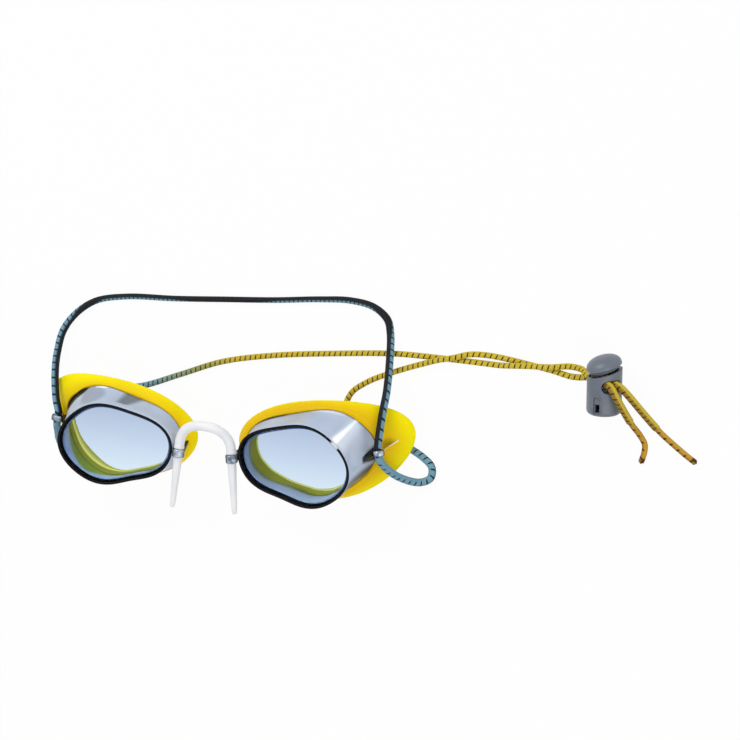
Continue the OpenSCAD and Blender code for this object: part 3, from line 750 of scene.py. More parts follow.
def behind(loop, deep):
    """The loop at this depth behind the window's front."""
    return np.column_stack([loop, -np.broadcast_to(deep, len(loop))])


def lowered(loop, deep):
    """The loop moved back by this much."""
    return np.column_stack([loop[:, :2], loop[:, 2] - deep])


def wall_front(inset):
    """Loop behind the rim where the wall starts: inset 0 is its outer face, WALL its inner one."""
    return behind(grown(lens_loop, RIM_OUT * (1 - inset / WALL) - inset), LEDGE)


def wall_back(far):
    """Loop round the wall's back, moved outward by far: 0 is its outer face, -WALL its inner one."""
    loop = grown(base_loop, far)
    return behind(loop, cup_back(loop[:, 0]))


def flange(share, deep):
    """Loop on the seal's flange: share 0 is at the wall, 1 at the outer edge."""
    near, far = wall_back(0), behind(seal_loop, flange_back(seal_loop[:, 0]))
    return lowered(near + (far - near) * share, deep)


def from_cup(points, side):
    """Cup frame to the goggles' frame."""
    p = np.asarray(points, float)
    c, s = math.cos(CUP_TURN), math.sin(CUP_TURN)
    x = CUP_OFFSET + p[..., 0] * c - p[..., 2] * s
    z = p[..., 0] * s + p[..., 2] * c
    return np.stack([side * x, p[..., 1], z], -1)


def lean_row(points):
    """The goggles' frame to the table's, both in millimetres."""
    p = np.asarray(points, float)
    c, s = math.cos(LEAN), math.sin(LEAN)
    y = c * p[..., 1] - s * p[..., 2]
    z = s * p[..., 1] + c * p[..., 2]
    return np.stack([p[..., 0], y, z], -1) + GOGGLES_AT


def to_row(points, side):
    """Cup frame in millimetres to the row frame in metres."""
    return lean_row(from_cup(points, side)) * MM


def cup_skin(name, loops, side):
    """Closed skin over these loops of the cup, which runs from the last loop back to the first."""
    points = np.concatenate([to_row(loop, side) for loop in loops])
    return turn_out(mesh_piece(name, points, loft_faces(len(loops), COLUMNS, True)))


# Painted marks on the cups, shade and dark reflections in WALL_SHADE and highlights in WALL_GLINT: turn and
# share of the middle, half turn and half share, strength
WALL_SHADE = {
    -1: [(22, 0.9, 14, 0.14, 1), (38, 0.92, 14, 0.12, 1), (60, 0.55, 16, 0.5, 0.36),
         (190, 0.9, 9, 0.16, 0.9)],
    1: [(124, 0.97, 16, 0.07, 0.8), (138, 0.7, 16, 0.4, 0.12)],
}
WALL_GLINT = {
    -1: [(68, 0.95, 7, 0.05, 1)],
    1: [(70, 0.95, 16, 0.1, 0.3), (14, 0.5, 16, 0.45, 0.1)],
}
# Straight painted marks, shade in SHADE_STREAKS and highlight streaks in GLINT_STREAKS: turns and share where
# each starts, turns and share where it ends, strength, soft degrees
SHADE_STREAKS = {
    -1: [(0, 6, 0.46, -9, 8, 0.97, 1, 1.5), (12, 46, 0.84, 4, 57, 1, 1, 3),
         (90, 101, 0.2, 93, 111, 0.96, 0.62, 5)],
    1: [(0, 6, 0.46, -9, 8, 0.97, 1, 1.5), (324, 353, 0, 334, 351, 1, 0.95, 9)],
}
GLINT_STREAKS = {
    -1: [],
    1: [(35.5, 44, 0, 41, 43.5, 1, 0.95, 4), (24, 42, 0, 34, 44, 0.95, 0.35, 12)],
}
# Painted highlights on the rims: turn of the middle, half turn, strength
RIM_GLINT = {-1: [], 1: [(36, 5, 0.85)]}
# Painted shade on the seals, mostly in the groove along the wall: turn and share of the middle, half turn and
# half share, strength
SEAL_SHADE = {
    -1: [(22, 0.02, 16, 0.09, 1), (40, 0.02, 12, 0.06, 1)],
    1: [(124, 0.02, 16, 0.05, 0.7), (322, 0.02, 20, 0.05, 0.5), (6, 0.3, 4, 0.16, 0.35)],
}


def off_turn(middle):
    """Degrees from this turn to each column of the cup, from -180 to 180."""
    return (np.degrees(TURNS) - middle + 180) % 360 - 180


def ovals(places, share):
    """How strongly soft-edged oval marks cover each column of the cup at one share of its depth."""
    cover, reach, soft = np.zeros(COLUMNS), 1.15, 0.4
    for middle, deep, wide, tall, strength in places:
        away = np.sqrt((off_turn(middle) / wide) ** 2 + ((share - deep) / tall) ** 2)
        cover = np.maximum(cover, strength * np.clip((reach - away) / soft, 0, 1))
    return cover


def streaks(places, share):
    """The same for straight marks that run down the wall."""
    cover = np.zeros(COLUMNS)
    for low0, high0, start, low1, high1, end, strength, soft in places:
        if not start <= share <= end:
            continue
        k = (share - start) / (end - start)
        low, high = low0 + (low1 - low0) * k, high0 + (high1 - high0) * k
        off = np.abs(off_turn((low + high) / 2))
        cover = np.maximum(cover, strength * np.clip(((high - low) / 2 - off) / soft + 0.5, 0, 1))
    return cover


def turn_steps(values):
    """Smooth value round the cup from (turn, value) pairs."""
    values = sorted(values)
    first, last = values[0], values[-1]
    closed = [(last[0] - 360, last[1])] + values + [(first[0] + 360, first[1])]
    plain = steps(np.degrees(TURNS), closed)
    reach = 6
    spread = np.exp(-np.linspace(-2, 2, 2 * reach + 1) ** 2)
    return sum(w * np.roll(plain, k - reach) for k, w in enumerate(spread / spread.sum()))


# Seal
# Edge of the inner lip: turn, how far it stands off the wall, how deep it lies behind the wall's back
LIP = {
    -1: [(0, 0.9, -1), (20, 1.2, 1.5), (45, 1.5, 3), (180, 2, 3), (215, 1.8, 2.6), (240, 1, 1), (262, 1, 0),
         (286, 1, -2), (304, 0.4, -3.2), (319, 0.4, -4), (332, 0.6, -3.5), (346, 1.3, -2)],
    1: [(0, 0.9, -1), (20, 1.2, 1.5), (45, 1.5, 3), (150, 1.1, 3), (180, 2.8, 3), (205, 3.7, 3),
        (228, 2.6, 3), (245, 1.4, 2.8), (265, 1.9, 2.6), (287, 1.9, 1), (305, 0.9, -2), (319, 0.5, -3.5),
        (332, 0.6, -3.5), (346, 1.3, -2)],
}
# Share by which the seal's inner foot is drawn up to the wall's back
DRAWN_UP = {
    -1: [(0, 0.5), (25, 0), (215, 0), (240, 0.5), (262, 0.8), (286, 1), (340, 1)],
    1: [(0, 0.5), (25, 0), (250, 0), (287, 0.4), (305, 0.9), (319, 1), (346, 1)],
}
# Height above the wall's back up to which the clear wall is painted olive for the yellow seal behind it
YELLOW_BEHIND = {
    -1: [(0, 5), (20, 2), (40, 0), (225, 0), (245, 2), (268, 5), (292, 8.6), (312, 13), (325, 13.5),
         (340, 11)],
    1: [(0, 3), (20, 1), (40, 0), (225, 0), (268, 0.6), (292, 1.5), (312, 3), (325, 5), (340, 5)],
}
# How far the painted orange shade reaches out from the wall before the seal turns lemon
ORANGE_SHADE_REACH = {-1: 0.95, 1: 1.4}


def lining(off, deep):
    """Loop that stands off the cup's inner wall, above its back where deep is below 0."""
    near, far = wall_front(WALL), wall_back(-WALL)
    deep = np.broadcast_to(deep, COLUMNS)
    height = -far[:, 2] - LEDGE
    loop = far + (near - far) * np.clip(-deep / height, 0, 1)[:, None]
    inner = grown(loop[:, :2], -np.broadcast_to(off, COLUMNS))
    return np.column_stack([inner, loop[:, 2] - np.maximum(deep, 0)])


def skirt(side):
    """Length of the wall's thin skirt inside the seal."""
    return SKIRT - 1.2 * turn_steps(DRAWN_UP[side])


def seal_front(side):
    """Flange from the wall out, with a groove, a swelling and a bead, then its round edge.

    Each row is a loop and its painted orange shade, its painted lip highlight, its painted shade and how far
    inside it lies."""
    rows = []
    temple = np.maximum(0, np.cos(TURNS)) ** 0.7
    for share in (0, 0.03, 0.06, 0.1, 0.15, 0.2, 0.25, 0.3, 0.36, 0.45, 0.55, 0.65, 0.75, 0.83, 0.89, 0.935):
        groove = 0.5 * math.exp(-((share - 0.03) / 0.04) ** 2)
        swell = 0.75 * math.sin(math.pi * min(share / 0.92, 1)) ** 0.8 if share < 0.92 else 0
        bead = 0.35 * math.exp(-((share - 0.9) / 0.07) ** 2)
        # Painted orange shade, strongest by the wall and fading sooner towards the temple
        painted_orange_shade = np.clip(ORANGE_SHADE_REACH[side] - share * (0.7 + 0.8 * temple), 0, 1)
        rows.append((flange(share, groove - swell - bead), painted_orange_shade, 0, ovals(SEAL_SHADE[side], share), 0))
    for degrees in np.linspace(60, -75, 7):
        a = math.radians(degrees)
        rows.append((flange(0.965 + 0.03 * math.cos(a), 0.35 - 0.55 * math.sin(a)), 0, 0, 0, 0))
    return rows


def seal_back(side):
    """Underside of the flange, then the lip that turns in over the opening and its foot on the wall."""
    under = [(0.93, 1.05), (0.85, 1.25), (0.75, 1.5), (0.64, 1.75), (0.52, 2.05), (0.4, 2.4)]
    rise, foot = turn_steps(DRAWN_UP[side]), skirt(side) + 0.05
    off = turn_steps([(turn, away) for turn, away, _ in LIP[side]])
    edge = turn_steps([(turn, deep) for turn, _, deep in LIP[side]])
    # Rows under the flange and on the lip carry painted orange shade; the lip's edge carries a painted
    # highlight and glow; rows inside the cup carry painted olive shade
    return [(flange(share, deep), 0.5, 0, 0, 0) for share, deep in under] + [
        (lowered(wall_back(-1.2), 3.2 - 2.7 * rise), 0.6, 0, 0, 0),
        (lining(off * 0.3, 3.5 - 2.9 * rise), 0.6, 0, 0, 0),
        (lining(off * 0.8, 3.6 - 2.9 * rise), 0.6, 0, 0, 0),
        (lining(off, 3.45 - 2.9 * rise), 0.6, 0, 0, 0),
        (lining(off, 1.72 - 1.4 * rise + edge / 2), 0.5, 0.5, 0, 1),
        (lining(off, edge), 0.2, 1, 0, 1),
        (lining(off - 0.12, edge - 0.35), 0.3, 0.5, 0, 1),
        (lining(off - 0.25, edge - 0.6), 0.5, 0, 0, 1),
        (lining(off * 0.55, edge - 0.8 - 1.2 * rise), 0.8, 0, 0, 1),
        (lining(0.1, edge - 1.4 - 2.4 * rise), 1, 0, 0, 1),
        (lining(0.04, foot), 1, 0, 0, 1),
        (lowered(wall_back(-1.25), foot), 1, 0, 0, 0),
        (wall_back(-1.25), 1, 0, 0, 0)]


def make_gasket(side):
    """Wide soft flange with a thick edge, and a lip that turns in over the opening."""
    name = NAMES[side]
    rows = seal_front(side) + seal_back(side)
    piece = cup_skin(f"{name}_eye_seal", [row[0] for row in rows], side)
    for k, kind in enumerate(("painted_orange_shade", "lip", "shade", "inner"), 1):
        mark_points(piece, kind, [np.broadcast_to(row[k], COLUMNS) for row in rows])
    dress(piece, rubber, f"{name}_cup", "seal", f"{name}_gasket")


# Wall with its ring and eyelet
RING_AT = (-25.4, -1.0, 0.6)
RING_TURNS = (math.radians(-8), math.radians(6))
RING_BORE, RING_WALL, RING_LENGTH = 1.78, 0.5, 3.0
EYELET_AT = (28.14, 3.9, -13.66)
EYELET_TURNS = (math.radians(-10), math.radians(12))
EYELET_BORE, EYELET_WALL, EYELET_LENGTH = 1.6, 0.6, 2.2
INKED_OUT = 0.47  # how far the wall's black front edge reaches out under the rim
WALL_PROUD = 0.26  # how far the wall's front edge stands above the window's front
WALL_HOLLOW = 0.35  # how far the wall's middle is drawn in
SKIRT_THICK = 0.2
INNER_ROWS = 17


def lug(name, side, centre, turns, bore, wall, length, sides=40):
    """Short rounded ring drawn in the cup frame about its own tilted axis."""
    outer, half = bore + wall, length / 2
    soft = min(wall * 0.45, 0.35)
    profile = [(bore, -half + soft), (bore + soft, -half), (outer - soft, -half), (outer, -half + soft),
               (outer, half - soft), (outer - soft, half), (bore + soft, half), (bore, half - soft)]
    tilt = Matrix.Rotation(turns[0], 3, "X") @ Matrix.Rotation(turns[1], 3, "Z")
    tilt = np.array(tilt @ Matrix.Rotation(math.radians(90), 3, "X"))
    rings = [circle(r, z, sides) @ tilt.T + np.array(centre) for r, z in profile]
    piece = loft(name, [to_row(ring, side) for ring in rings])
    dress(piece, clear, f"{NAMES[side]}_cup", "mirrored_cup")


def upright(x, y, z):
    """Four corners at one place along the cup, y and z each from one value to another."""
    return [(x, y[0], z[0]), (x, y[1], z[0]), (x, y[1], z[1]), (x, y[0], z[1])]


def level(x, y, z):
    """Four corners at one height."""
    return [(x[0], y[0], z), (x[0], y[1], z), (x[1], y[1], z), (x[1], y[0], z)]


def web(name, side, corners):
    """Six-sided web between two four-cornered ends, drawn in the cup frame, black as painted shade about the
    lugs.
    """
    points = to_row(np.array(corners, float), side)
    piece = turn_out(mesh_piece(name, points, SIX_SIDES, smooth=False), merge=True)
    bevel_edges(piece, 0.18 * MM)
    dress(piece, black, f"{NAMES[side]}_cup", "mirrored_cup")


def wall_rows(side):
    """Loops of the wall: each with 1 if it is inside, and its share of the depth or how its edge is inked."""
    front, back = wall_front(0), wall_back(0)
    near, far = wall_front(WALL), wall_back(-WALL)
    rows = [(behind(grown(lens_loop, out), -WALL_PROUD), 0, None) for out in (INKED_OUT, RIM_OUT)]
    for share in np.linspace(0, 1, WALL_ROWS):
        loop = front + (back - front) * share
        hollow = WALL_HOLLOW * math.sin(math.pi * share)
        rows.append((np.column_stack([grown(loop[:, :2], -hollow), loop[:, 2]]), 0, share))
    inset = wall_back(SKIRT_THICK - WALL)
    rows += [(loop, 1, None) for loop in (inset, lowered(inset, skirt(side)), lowered(far, skirt(side)))]
    rows += [(near + (far - near) * share, 1, share) for share in np.linspace(1, 0, INNER_ROWS)]
    for out, edge in ((-1.0, "clean"), (-0.85, "inked"), (INKED_OUT, "inked")):
        rows.append((behind(grown(lens_loop, out), LEDGE), 1, edge))
    return rows


def wall_tones(side, inner, share, yellow_from):
    """Painted shade with the inked edge, painted glint and painted olive of one loop of the wall."""
    bare = np.zeros(COLUMNS)
    if isinstance(share, str):
        return bare + (share == "inked"), bare, bare
    if share is None:
        return bare, bare, bare
    if inner:
        return bare, bare, np.clip((share - yellow_from) / 0.08 + 0.5, 0, 1)
    dark = np.maximum(ovals(WALL_SHADE[side], share), streaks(SHADE_STREAKS[side], share))
    bright = np.maximum(ovals(WALL_GLINT[side], share), streaks(GLINT_STREAKS[side], share))
    # Painted shade along the seam where the wall meets the seal
    seam = 0.85 if share == 1 else 0
    return np.maximum(dark, seam), bright, bare


def make_shell(side):
    """Mirrored wall that rises outside the rim and ends inside the seal in a thin skirt."""
    name, rows = NAMES[side], wall_rows(side)
    piece = cup_skin(f"{name}_wall", [loop for loop, _, _ in rows], side)
    yellow_from = 1 - turn_steps(YELLOW_BEHIND[side]) / (-wall_back(-WALL)[:, 2] - LEDGE)
    tones = [wall_tones(side, inner, share, yellow_from) for _, inner, share in rows]
    for kind, values in zip(("shade", "glint", "olive"), zip(*tones)):
        mark_points(piece, kind, values)
    mark_points(piece, "inside", np.repeat([inner for _, inner, _ in rows], COLUMNS))
    dress(piece, mirror, f"{name}_cup", "mirrored_cup", f"{name}_shell")


def make_nose_lug(side):
    """Ring for the bridge's tail, with the arm and the stay that carry it."""
    name, (x, y, _) = NAMES[side], RING_AT
    lug(f"{name}_nose_ring", side, RING_AT, RING_TURNS, RING_BORE, RING_WALL, RING_LENGTH)
    web(f"{name}_nose_arm", side, upright(x - 0.8, (y - 1.2, y + 1.2), (-1.3, -4.2))
        + upright(x + 3.4, (y - 1.3, y + 1.3), (-2.0, -4.6)))
    web(f"{name}_nose_stay", side, level((x - 1.4, x + 0.2), (y - 1.5, y + 0.9), -1.2)
        + level((x - 0.8, x + 0.4), (y + 1.0, y + 1.8), -9.0))


def make_temple_lug(side):
    """Eyelet for the strap, with its arm and a thin clear fin down the seal."""
    name, (x, y, z) = NAMES[side], EYELET_AT
    lug(f"{name}_strap_eyelet", side, EYELET_AT, EYELET_TURNS, EYELET_BORE, EYELET_WALL, EYELET_LENGTH)
    foot = [(23.3, 0.9, -9.3), (23.3, 3.4, -10.2), (24.3, 5.0, -16.2), (24.0, -0.3, -16.7)]
    web(f"{name}_strap_arm", side, foot + upright(x - 1.8, (y - 0.9, y + 0.9), (z + 0.9, z - 0.9)))
    plate = [(x + 0.6, y + 0.2, z - 1.6), (x + 0.9, y + 0.7, z - 1.6), (31.7, 6.1, -23.3), (31.4, 6.5, -23.3),
             (x - 0.7, y - 0.9, z - 5.9), (x - 0.4, y - 0.4, z - 5.9), (31.7, 6.1, -24.4), (31.4, 6.5, -24.4)]
    piece = turn_out(mesh_piece(f"{name}_strap_fin", to_row(np.array(plate), side), SIX_SIDES, smooth=False))
    # The top corners carry the painted highlight
    mark_points(piece, "edge", [1, 1, 1, 1, 0, 0, 0, 0])
    dress(piece, fin, f"{name}_cup", "mirrored_cup")


def window_sections(profile, side):
    """Loops along the window's outline, from (how far out, height) points."""
    return [to_row(behind(grown(lens_loop, far), -z), side) for far, z in profile]


def make_rim(side):
    """Narrow black ring round the window, a little proud of it."""
    name = NAMES[side]
    profile = [(RIM_IN, -LEDGE), (RIM_IN, 0.35), (-0.27, 0.47), (-0.15, 0.5), (0.42, 0.5), (0.55, 0.46),
               (RIM_OUT, 0.36), (RIM_OUT, 0.27), (0.45, 0.27), (0.45, -LEDGE)]
    piece = loft(f"{name}_rim_ring", window_sections(profile, side))
    # Painted highlight along part of the rim
    bright = ovals([(turn, 0, half, 1, strength) for turn, half, strength in RIM_GLINT[side]], 0)
    mark_points(piece, "glint", np.tile(bright, len(profile)))
    dress(piece, black, f"{name}_cup", "rim", f"{name}_rim")


def make_window(side):
    """Flat tinted plate whose narrow edge is inked black."""
    name = NAMES[side]
    profile = [(-0.65, 0), (-0.53, -0.04), (-0.5, -0.15), (-0.5, -1.45), (-0.53, -1.56), (-0.65, -LEDGE)]
    piece = loft(f"{name}_tinted_window", window_sections(profile, side), closed_rows=False, caps=True)
    piece.data.shade_flat()
    dress(piece, glass, f"{name}_cup", "window", f"{name}_window")
    piece.data.materials.append(black)
    inked = np.zeros(len(piece.data.polygons), np.int32)
    inked[:(len(profile) - 1) * COLUMNS] = 1
    piece.data.polygons.foreach_set("material_index", inked)


for side in (-1, 1):
    make_shell(side)
    make_nose_lug(side)
    make_temple_lug(side)
    make_gasket(side)
    make_rim(side)
    make_window(side)


# Nose bridge
BRIDGE_SIDES, ARCH_ROWS = 32, 40
TAIL_SPLAY, TAIL_LEAN = math.radians(6), math.radians(8)
TAIL_LENGTH, TAIL_RADIUS, TAIL_TIP = 20, 1.7, 1.0
IN_RING = 1.9  # half the length of the tail's even part, in and near the ring
RING_TO_ARCH, ARCH_RISE, ARCH_RADIUS = 3.1, 12, 1.85


def tail_radius(z):
    """Radius of the tail this far past the middle of its ring, on the side of its tip."""
    if z > TAIL_LENGTH:
        return math.sqrt(max(TAIL_TIP ** 2 - (z - TAIL_LENGTH) ** 2, 0.01))
    if z > IN_RING:
        return TAIL_RADIUS + (TAIL_TIP - TAIL_RADIUS) * (z - IN_RING) / (TAIL_LENGTH - IN_RING)
    if z > -IN_RING:
        return TAIL_RADIUS
    return 2.0 - 0.15 * max(-z - 2.05, 0)


def bridge_line():
    """Centre and radius from tip to tip over the arch, in the goggles' frame."""
    down = np.array((math.sin(TAIL_SPLAY), -math.cos(TAIL_SPLAY) * math.cos(TAIL_LEAN),
                     math.cos(TAIL_SPLAY) * math.sin(TAIL_LEAN)))
    ring = np.array(RING_AT)
    foot = from_cup(ring - down * RING_TO_ARCH, 1)
    pull = from_cup(ring - down * (RING_TO_ARCH + 5.4), 1)
    crest = np.array((0, foot[1] + ARCH_RISE - RING_TO_ARCH, foot[2] + 1.5))
    shoulder = np.array((foot[0] * 0.62, crest[1], crest[2]))
    heights = (20.95, 20.8, 20.5, 20, 19, 17, 14, 11, 8, 5, 3, 1.95, 1.9, 0, -1.85, -1.9, -2.05, -2.5, -2.9)
    right = [(*from_cup(ring + down * z, 1), tail_radius(z)) for z in heights]
    for i in range(ARCH_ROWS):
        s = i / (ARCH_ROWS - 1)
        p = (foot * (1 - s) ** 3 + 3 * pull * s * (1 - s) ** 2
             + 3 * shoulder * s * s * (1 - s) + crest * s ** 3)
        right.append((*p, ARCH_RADIUS - 0.05 * math.sin(math.pi * s)))
    left = [(-x, y, z, r) for x, y, z, r in right][:-1]
    return np.array(left + right[::-1])


def make_bridge():
    """Arch between the cups, with a tapered tail through each nose ring."""
    line = bridge_line()
    rings = tube_rings(lean_row(line[:, :3]), line[:, 3], (0, -math.sin(LEAN), math.cos(LEAN)), BRIDGE_SIDES)
    piece = loft("nose_strap", rings * MM, closed_rows=False, caps=True)
    dress(piece, silicone, "bridge", "bridge", "nose_bridge")


make_bridge()


# Cord lock
# Its pieces are drawn in millimetres, standing on the lock's foot, and then set in place
LOCK_FOOT = Vector((106.6, 14.7, 5.7))
LOCK_TURN = Matrix.Rotation(math.radians(-73), 4, "X") @ Matrix.Rotation(math.radians(-45), 4, "Z")
LOCK = Matrix.Translation(LOCK_FOOT) @ LOCK_TURN
CROWN = Matrix.Rotation(math.radians(66), 4, "Z") @ Matrix.Rotation(math.radians(-16), 4, "Y")
AXIS = 0.01  # stands for radius 0
BEYOND = 30  # cutters reach out this far
BARREL_RADIUS, BARREL_TOP, FOOT_ROUNDING = 6.4, 15.5, 1.8
BORE_RADIUS, BORE_FLOOR = 4.6, 1.5
MOUTH_FLOOR, MOUTH_RADIUS = 14.2, 5.65
HOLE_AT, HOLE_WIDTH, HOLE_HEIGHT = 11.25, 8, 5
NOTCH_AT, NOTCH_RADIUS = (4.7, -0.4, 8.7), 0.75
# Slot in the barrel's side and the deeper one for its catch, each from corner to corner
SLOT_TURN = math.radians(-54)
SLOT = ((5.7, -1.25, 1.0), (12, 1.25, 7.8))
CATCH = ((2.3, -0.9, 1.5), (12, 0.9, 4.7))
SHAFT_RADIUS, SHAFT_FOOT, SHAFT_TOP, SHAFT_BEVEL = 4.5, 3.7, 19, 0.3
CORD_HOLE = ((-9, -3.3, 10.25), (9, 3.3, 15.45))
POCKET_RADIUS, POCKET_TOP = 3.05, 9.3
CAP_AT, CAP_RADIUS, CAP_EDGE, CAP_HEIGHT = 17.3, 6.5, 0.9, 4.4
# Collar under the cap: radius, height above the cap's foot
COLLAR = [(AXIS, -1.1), (5.15, -1.1), (5.35, -0.9), (5.35, -0.35), (5.0, -0.3), (5.0, 0.1), (AXIS, 0.1)]
PRESS_SHIFT = -0.38  # brings the tilted collar to the middle of the mouth when the button is in
# Hairline bevels, which keep the edges crisp when the piece is shaded smooth
SLOT_HAIR, BARREL_HAIR, PLUNGER_HAIR = 0.0006, 0.00028, 0.00015


def turned(name, profile, sides=96):
    """Solid of revolution about Z from (radius, height) points."""
    return loft(name, [circle(r, z, sides) for r, z in profile], closed_rows=False, caps=True)


def peg(name, radius, low, high, sides=96):
    return turned(name, [(AXIS, low), (radius, low), (radius, high), (AXIS, high)], sides)


def rounded(cx, cz, r, start, end, count=6):
    """Points on an arc, from one angle to another in degrees."""
    return [(cx + r * math.cos(math.radians(a)), cz + r * math.sin(math.radians(a)))
            for a in np.linspace(start, end, count)]


def cuboid(name, low, high):
    """Box from one corner to the other, its faces outward."""
    (x0, y0, z0), (x1, y1, z1) = low, high
    points = [(x, y, z) for z in (z0, z1) for x, y in ((x0, y0), (x1, y0), (x1, y1), (x0, y1))]
    return mesh_piece(name, points, [SIX_SIDES[0][::-1]] + SIX_SIDES[1:], smooth=False)


def obround(name, width, height, length, sides=24):
    """Long plug along X whose section is a slot of that width across Y and height along Z."""
    r, flat = height / 2, (width - height) / 2
    loop = rounded(flat, 0, r, -90, 90, sides) + rounded(-flat, 0, r, 90, 270, sides)
    sections = [np.array([(x, y, z) for y, z in loop]) for x in (-length / 2, length / 2)]
    return loft(name, sections, closed_rows=False, caps=True)


def cut(piece, cutter, place=Matrix.Identity(4)):
    """Takes the cutter, moved to its place, out of the piece."""
    cutter.data.transform(place)
    tool = piece.modifiers.new("cut", "BOOLEAN")
    tool.operation = "DIFFERENCE"
    tool.solver = "EXACT"
    tool.object = cutter
    apply_modifiers(piece)
    bpy.data.objects.remove(cutter)


def set_in_place(piece, material, body, slot, *nodes):
    """From the lock's own millimetres to the row frame."""
    piece.data.transform(Matrix.Scale(MM, 4) @ LOCK)
    dress(piece, material, body, slot, *nodes)


def make_barrel():
    """Round barrel with a tilted mouth, a cross hole for the cords and a slot with a catch in its side."""
    side = rounded(BARREL_RADIUS - FOOT_ROUNDING, FOOT_ROUNDING, FOOT_ROUNDING, -80, 0, 8)
    profile = [(AXIS, 0), (BARREL_RADIUS - FOOT_ROUNDING, 0)] + side + [(BARREL_RADIUS, 20), (AXIS, 20)]
    piece = turned("lock_body", profile)
    cut(piece, cuboid("top_cut", (-20, -20, 0), (20, 20, 20)), Matrix.Translation((0, 0, BARREL_TOP)) @ CROWN)
    cut(piece, peg("bore_cut", BORE_RADIUS, BORE_FLOOR, BEYOND))
    cut(piece, peg("mouth_cut", MOUTH_RADIUS, 0, 9), Matrix.Translation((0, 0, MOUTH_FLOOR)) @ CROWN)
    cut(piece, obround("hole_cut", HOLE_WIDTH, HOLE_HEIGHT, BEYOND), Matrix.Translation((0, 0, HOLE_AT)))
    cut(piece, peg("notch_cut", NOTCH_RADIUS, 0, 8, 24),
        Matrix.Translation(NOTCH_AT) @ Matrix.Rotation(math.radians(90), 4, "Y"))
    around = Matrix.Rotation(SLOT_TURN, 4, "Z")
    slot = cuboid("slot_cut", *SLOT)
    bevel_edges(slot, SLOT_HAIR, 3)
    cut(piece, slot, around)
    cut(piece, cuboid("catch_cut", *CATCH), around)
    bevel_edges(piece, BARREL_HAIR, 3, 30)
    set_in_place(piece, grey, "lock", "lock", "lock_barrel")


def make_slot_lip():
    """Thin raised border round the slot in the side of the barrel, open at its foot."""
    half, low, high, thick, sides = 1.6, 1.5, 8.1, 0.3, 12
    arch = [(half * math.cos(math.radians(a)), high - half + half * math.sin(math.radians(a)) * 0.8)
            for a in np.linspace(180, 0, 13)]
    points = []
    for y, z in [(-half, low)] + arch + [(half, low)]:
        a = SLOT_TURN + y / BARREL_RADIUS
        points.append(((BARREL_RADIUS - 0.05) * math.cos(a), (BARREL_RADIUS - 0.05) * math.sin(a), z))
    points = np.array(points)
    tangent = np.gradient(points, axis=0)
    tangent /= np.linalg.norm(tangent, axis=1)[:, None]
    out = points * np.array((1, 1, 0))
    out /= np.linalg.norm(out, axis=1)[:, None]
    angle = np.arange(sides)[:, None] * TAU / sides
    rings = [p + thick * (np.cos(angle) * o * 0.8 + np.sin(angle) * across)
             for p, o, across in zip(points, out, np.cross(tangent, out))]
    piece = loft("lock_slot_border", rings, closed_rows=False, caps=True)
    set_in_place(piece, grey, "lock", "lock")


def make_plunger():
    """Shaft under the button, near black as painted shade, with a cross hole for the cords and a pocket for
    the spring.
    """
    profile = [(AXIS, SHAFT_FOOT), (SHAFT_RADIUS - SHAFT_BEVEL, SHAFT_FOOT),
               (SHAFT_RADIUS, SHAFT_FOOT + SHAFT_BEVEL), (SHAFT_RADIUS, SHAFT_TOP), (AXIS, SHAFT_TOP)]
    shaft = turned("plunger", profile)
    cut(shaft, cuboid("cord_cut", *CORD_HOLE))
    cut(shaft, peg("pocket_cut", POCKET_RADIUS, 3, POCKET_TOP))
    bevel_edges(shaft, PLUNGER_HAIR, 2, 40)
    set_in_place(shaft, shadow_plastic, "button", "lock", "lock_button")


def make_cap():
    """Domed button, tilted as the barrel's mouth is, with a collar that closes the gap."""
    foot = [(AXIS, 0), (CAP_RADIUS - 0.45, 0)] + rounded(CAP_RADIUS - 0.3, 0.3, 0.3, -80, 0, 5)
    dome = [(CAP_RADIUS * r ** 0.86, CAP_EDGE + (CAP_HEIGHT - CAP_EDGE) * z)
            for r, z in rounded(0, 0, 1, 6, 89.5, 22)]
    place = Matrix.Translation((0, 0, CAP_AT)) @ CROWN
    cap = turned("cap", foot + dome)
    cap.data.transform(place)
    collar = turned("cap_collar", COLLAR)
    collar.data.transform(place @ Matrix.Translation((PRESS_SHIFT, 0, 0)))
    set_in_place(collar, grey, "button", "lock")
    set_in_place(cap, grey, "button", "lock")


make_barrel()
make_slot_lip()
make_plunger()
make_cap()


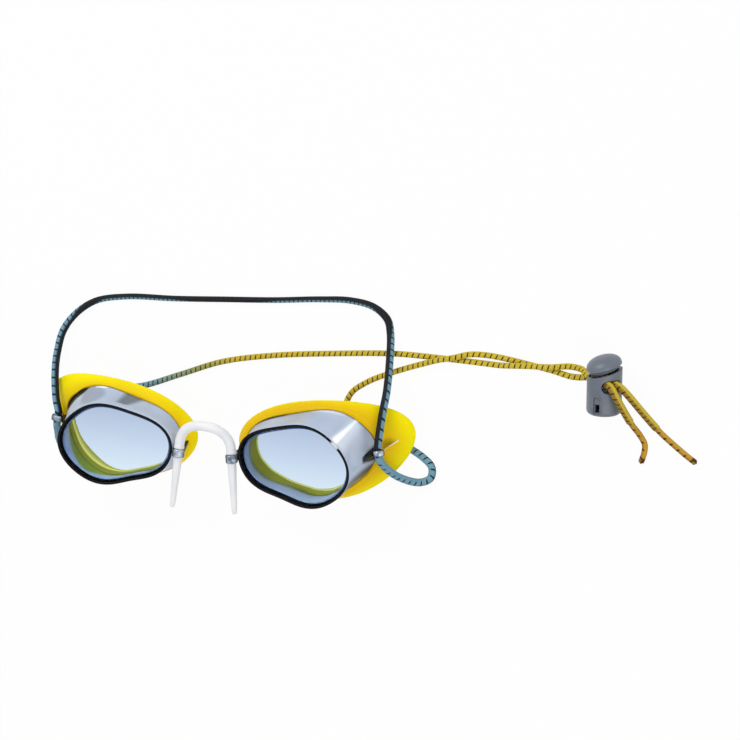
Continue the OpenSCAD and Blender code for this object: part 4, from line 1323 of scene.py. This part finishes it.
# Spring
def coil_tree():
    """Coil that follows a helix, from its own named sizes."""
    tree = bpy.data.node_groups.new("coil", "GeometryNodeTree")
    tree.interface.new_socket("Geometry", in_out="OUTPUT", socket_type="NodeSocketGeometry")
    for name in ("Coil radius", "Wire radius", "Coil height", "Curls"):
        tree.interface.new_socket(name, in_out="INPUT", socket_type="NodeSocketFloat")
    tree.interface.new_socket("Finish", in_out="INPUT", socket_type="NodeSocketMaterial")
    start, finish = add(tree, "NodeGroupInput"), add(tree, "NodeGroupOutput")
    helix = add(tree, "GeometryNodeCurveSpiral", {"Resolution": 32})
    ring = add(tree, "GeometryNodeCurvePrimitiveCircle", {"Resolution": 12})
    skin = add(tree, "GeometryNodeCurveToMesh", {"Fill Caps": True})
    real = add(tree, "GeometryNodeRealizeInstances")
    paint = add(tree, "GeometryNodeSetMaterial")
    for name, node, socket in (("Coil radius", helix, "Start Radius"), ("Coil radius", helix, "End Radius"),
                               ("Coil height", helix, "Height"), ("Curls", helix, "Rotations"),
                               ("Wire radius", ring, "Radius"), ("Finish", paint, "Material")):
        link(start.outputs[name], node.inputs[socket])
    for source, target in ((helix, skin.inputs["Curve"]), (ring, skin.inputs["Profile Curve"]),
                           (skin, real.inputs[0]), (real, paint.inputs[0]), (paint, finish.inputs[0])):
        link(source.outputs[0], target)
    return tree


def set_inputs(modifier, values):
    for item in modifier.node_group.interface.items_tree:
        if item.item_type == "SOCKET" and item.in_out == "INPUT" and item.name in values:
            modifier[item.identifier] = values[item.name]


def make_spring():
    """Coil between the barrel's floor and the plunger's pocket."""
    foot, height, travel = 1.85, 7.1, 1.7
    sizes = {"Coil radius": 2.5, "Wire radius": 0.25, "Coil height": height, "Curls": 6.0}
    piece = mesh_piece("return_spring", [], [])
    coil = piece.modifiers.new("coil", "NODES")
    coil.node_group = coil_tree()
    set_inputs(coil, {**sizes, "Finish": steel})
    apply_modifiers(piece)
    piece.data.transform(Matrix.Translation((0, 0, foot)))
    piece.data.shade_smooth()
    set_in_place(piece, steel, "lock", "spring", "lock_spring")
    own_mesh(piece)


make_spring()


# Floor and light
def lay_floor():
    corners = [(-3, -3, 0), (3, -3, 0), (3, 3, 0), (-3, 3, 0)]
    floor = mesh_piece("floor", corners, [(0, 1, 2, 3)], smooth=False)
    floor.data.materials.append(white_floor())


def light_world():
    """White all round: full for the picture, half as strong as a light."""
    world = bpy.data.worlds.new("studio")
    bpy.context.scene.world = world
    world.use_nodes = True
    tree = world.node_tree
    back = tree.nodes["Background"]
    back.inputs[0].default_value = (1, 1, 1, 1)
    strength = math_node(tree, "ADD", 0.5, math_node(tree, "MULTIPLY", seen_in_picture(tree), 0.5))
    link(strength, back.inputs[1])


def hang_lamp(name, place, size, power):
    """Square lamp that faces the middle of the floor."""
    data = bpy.data.lights.new(name, "AREA")
    data.size = size
    data.energy = power
    lamp = bpy.data.objects.new(name, data)
    lamp.location = place
    lamp.rotation_euler = (-Vector(place)).to_track_quat("-Z", "Y").to_euler()
    bpy.context.collection.objects.link(lamp)


lay_floor()
light_world()
hang_lamp("key_lamp", (-0.5, 0.7, 1.2), 0.7, 9)
hang_lamp("fill_lamp", (0.9, -0.7, 0.9), 0.9, 5)
bpy.context.scene.view_settings.view_transform = "Standard"
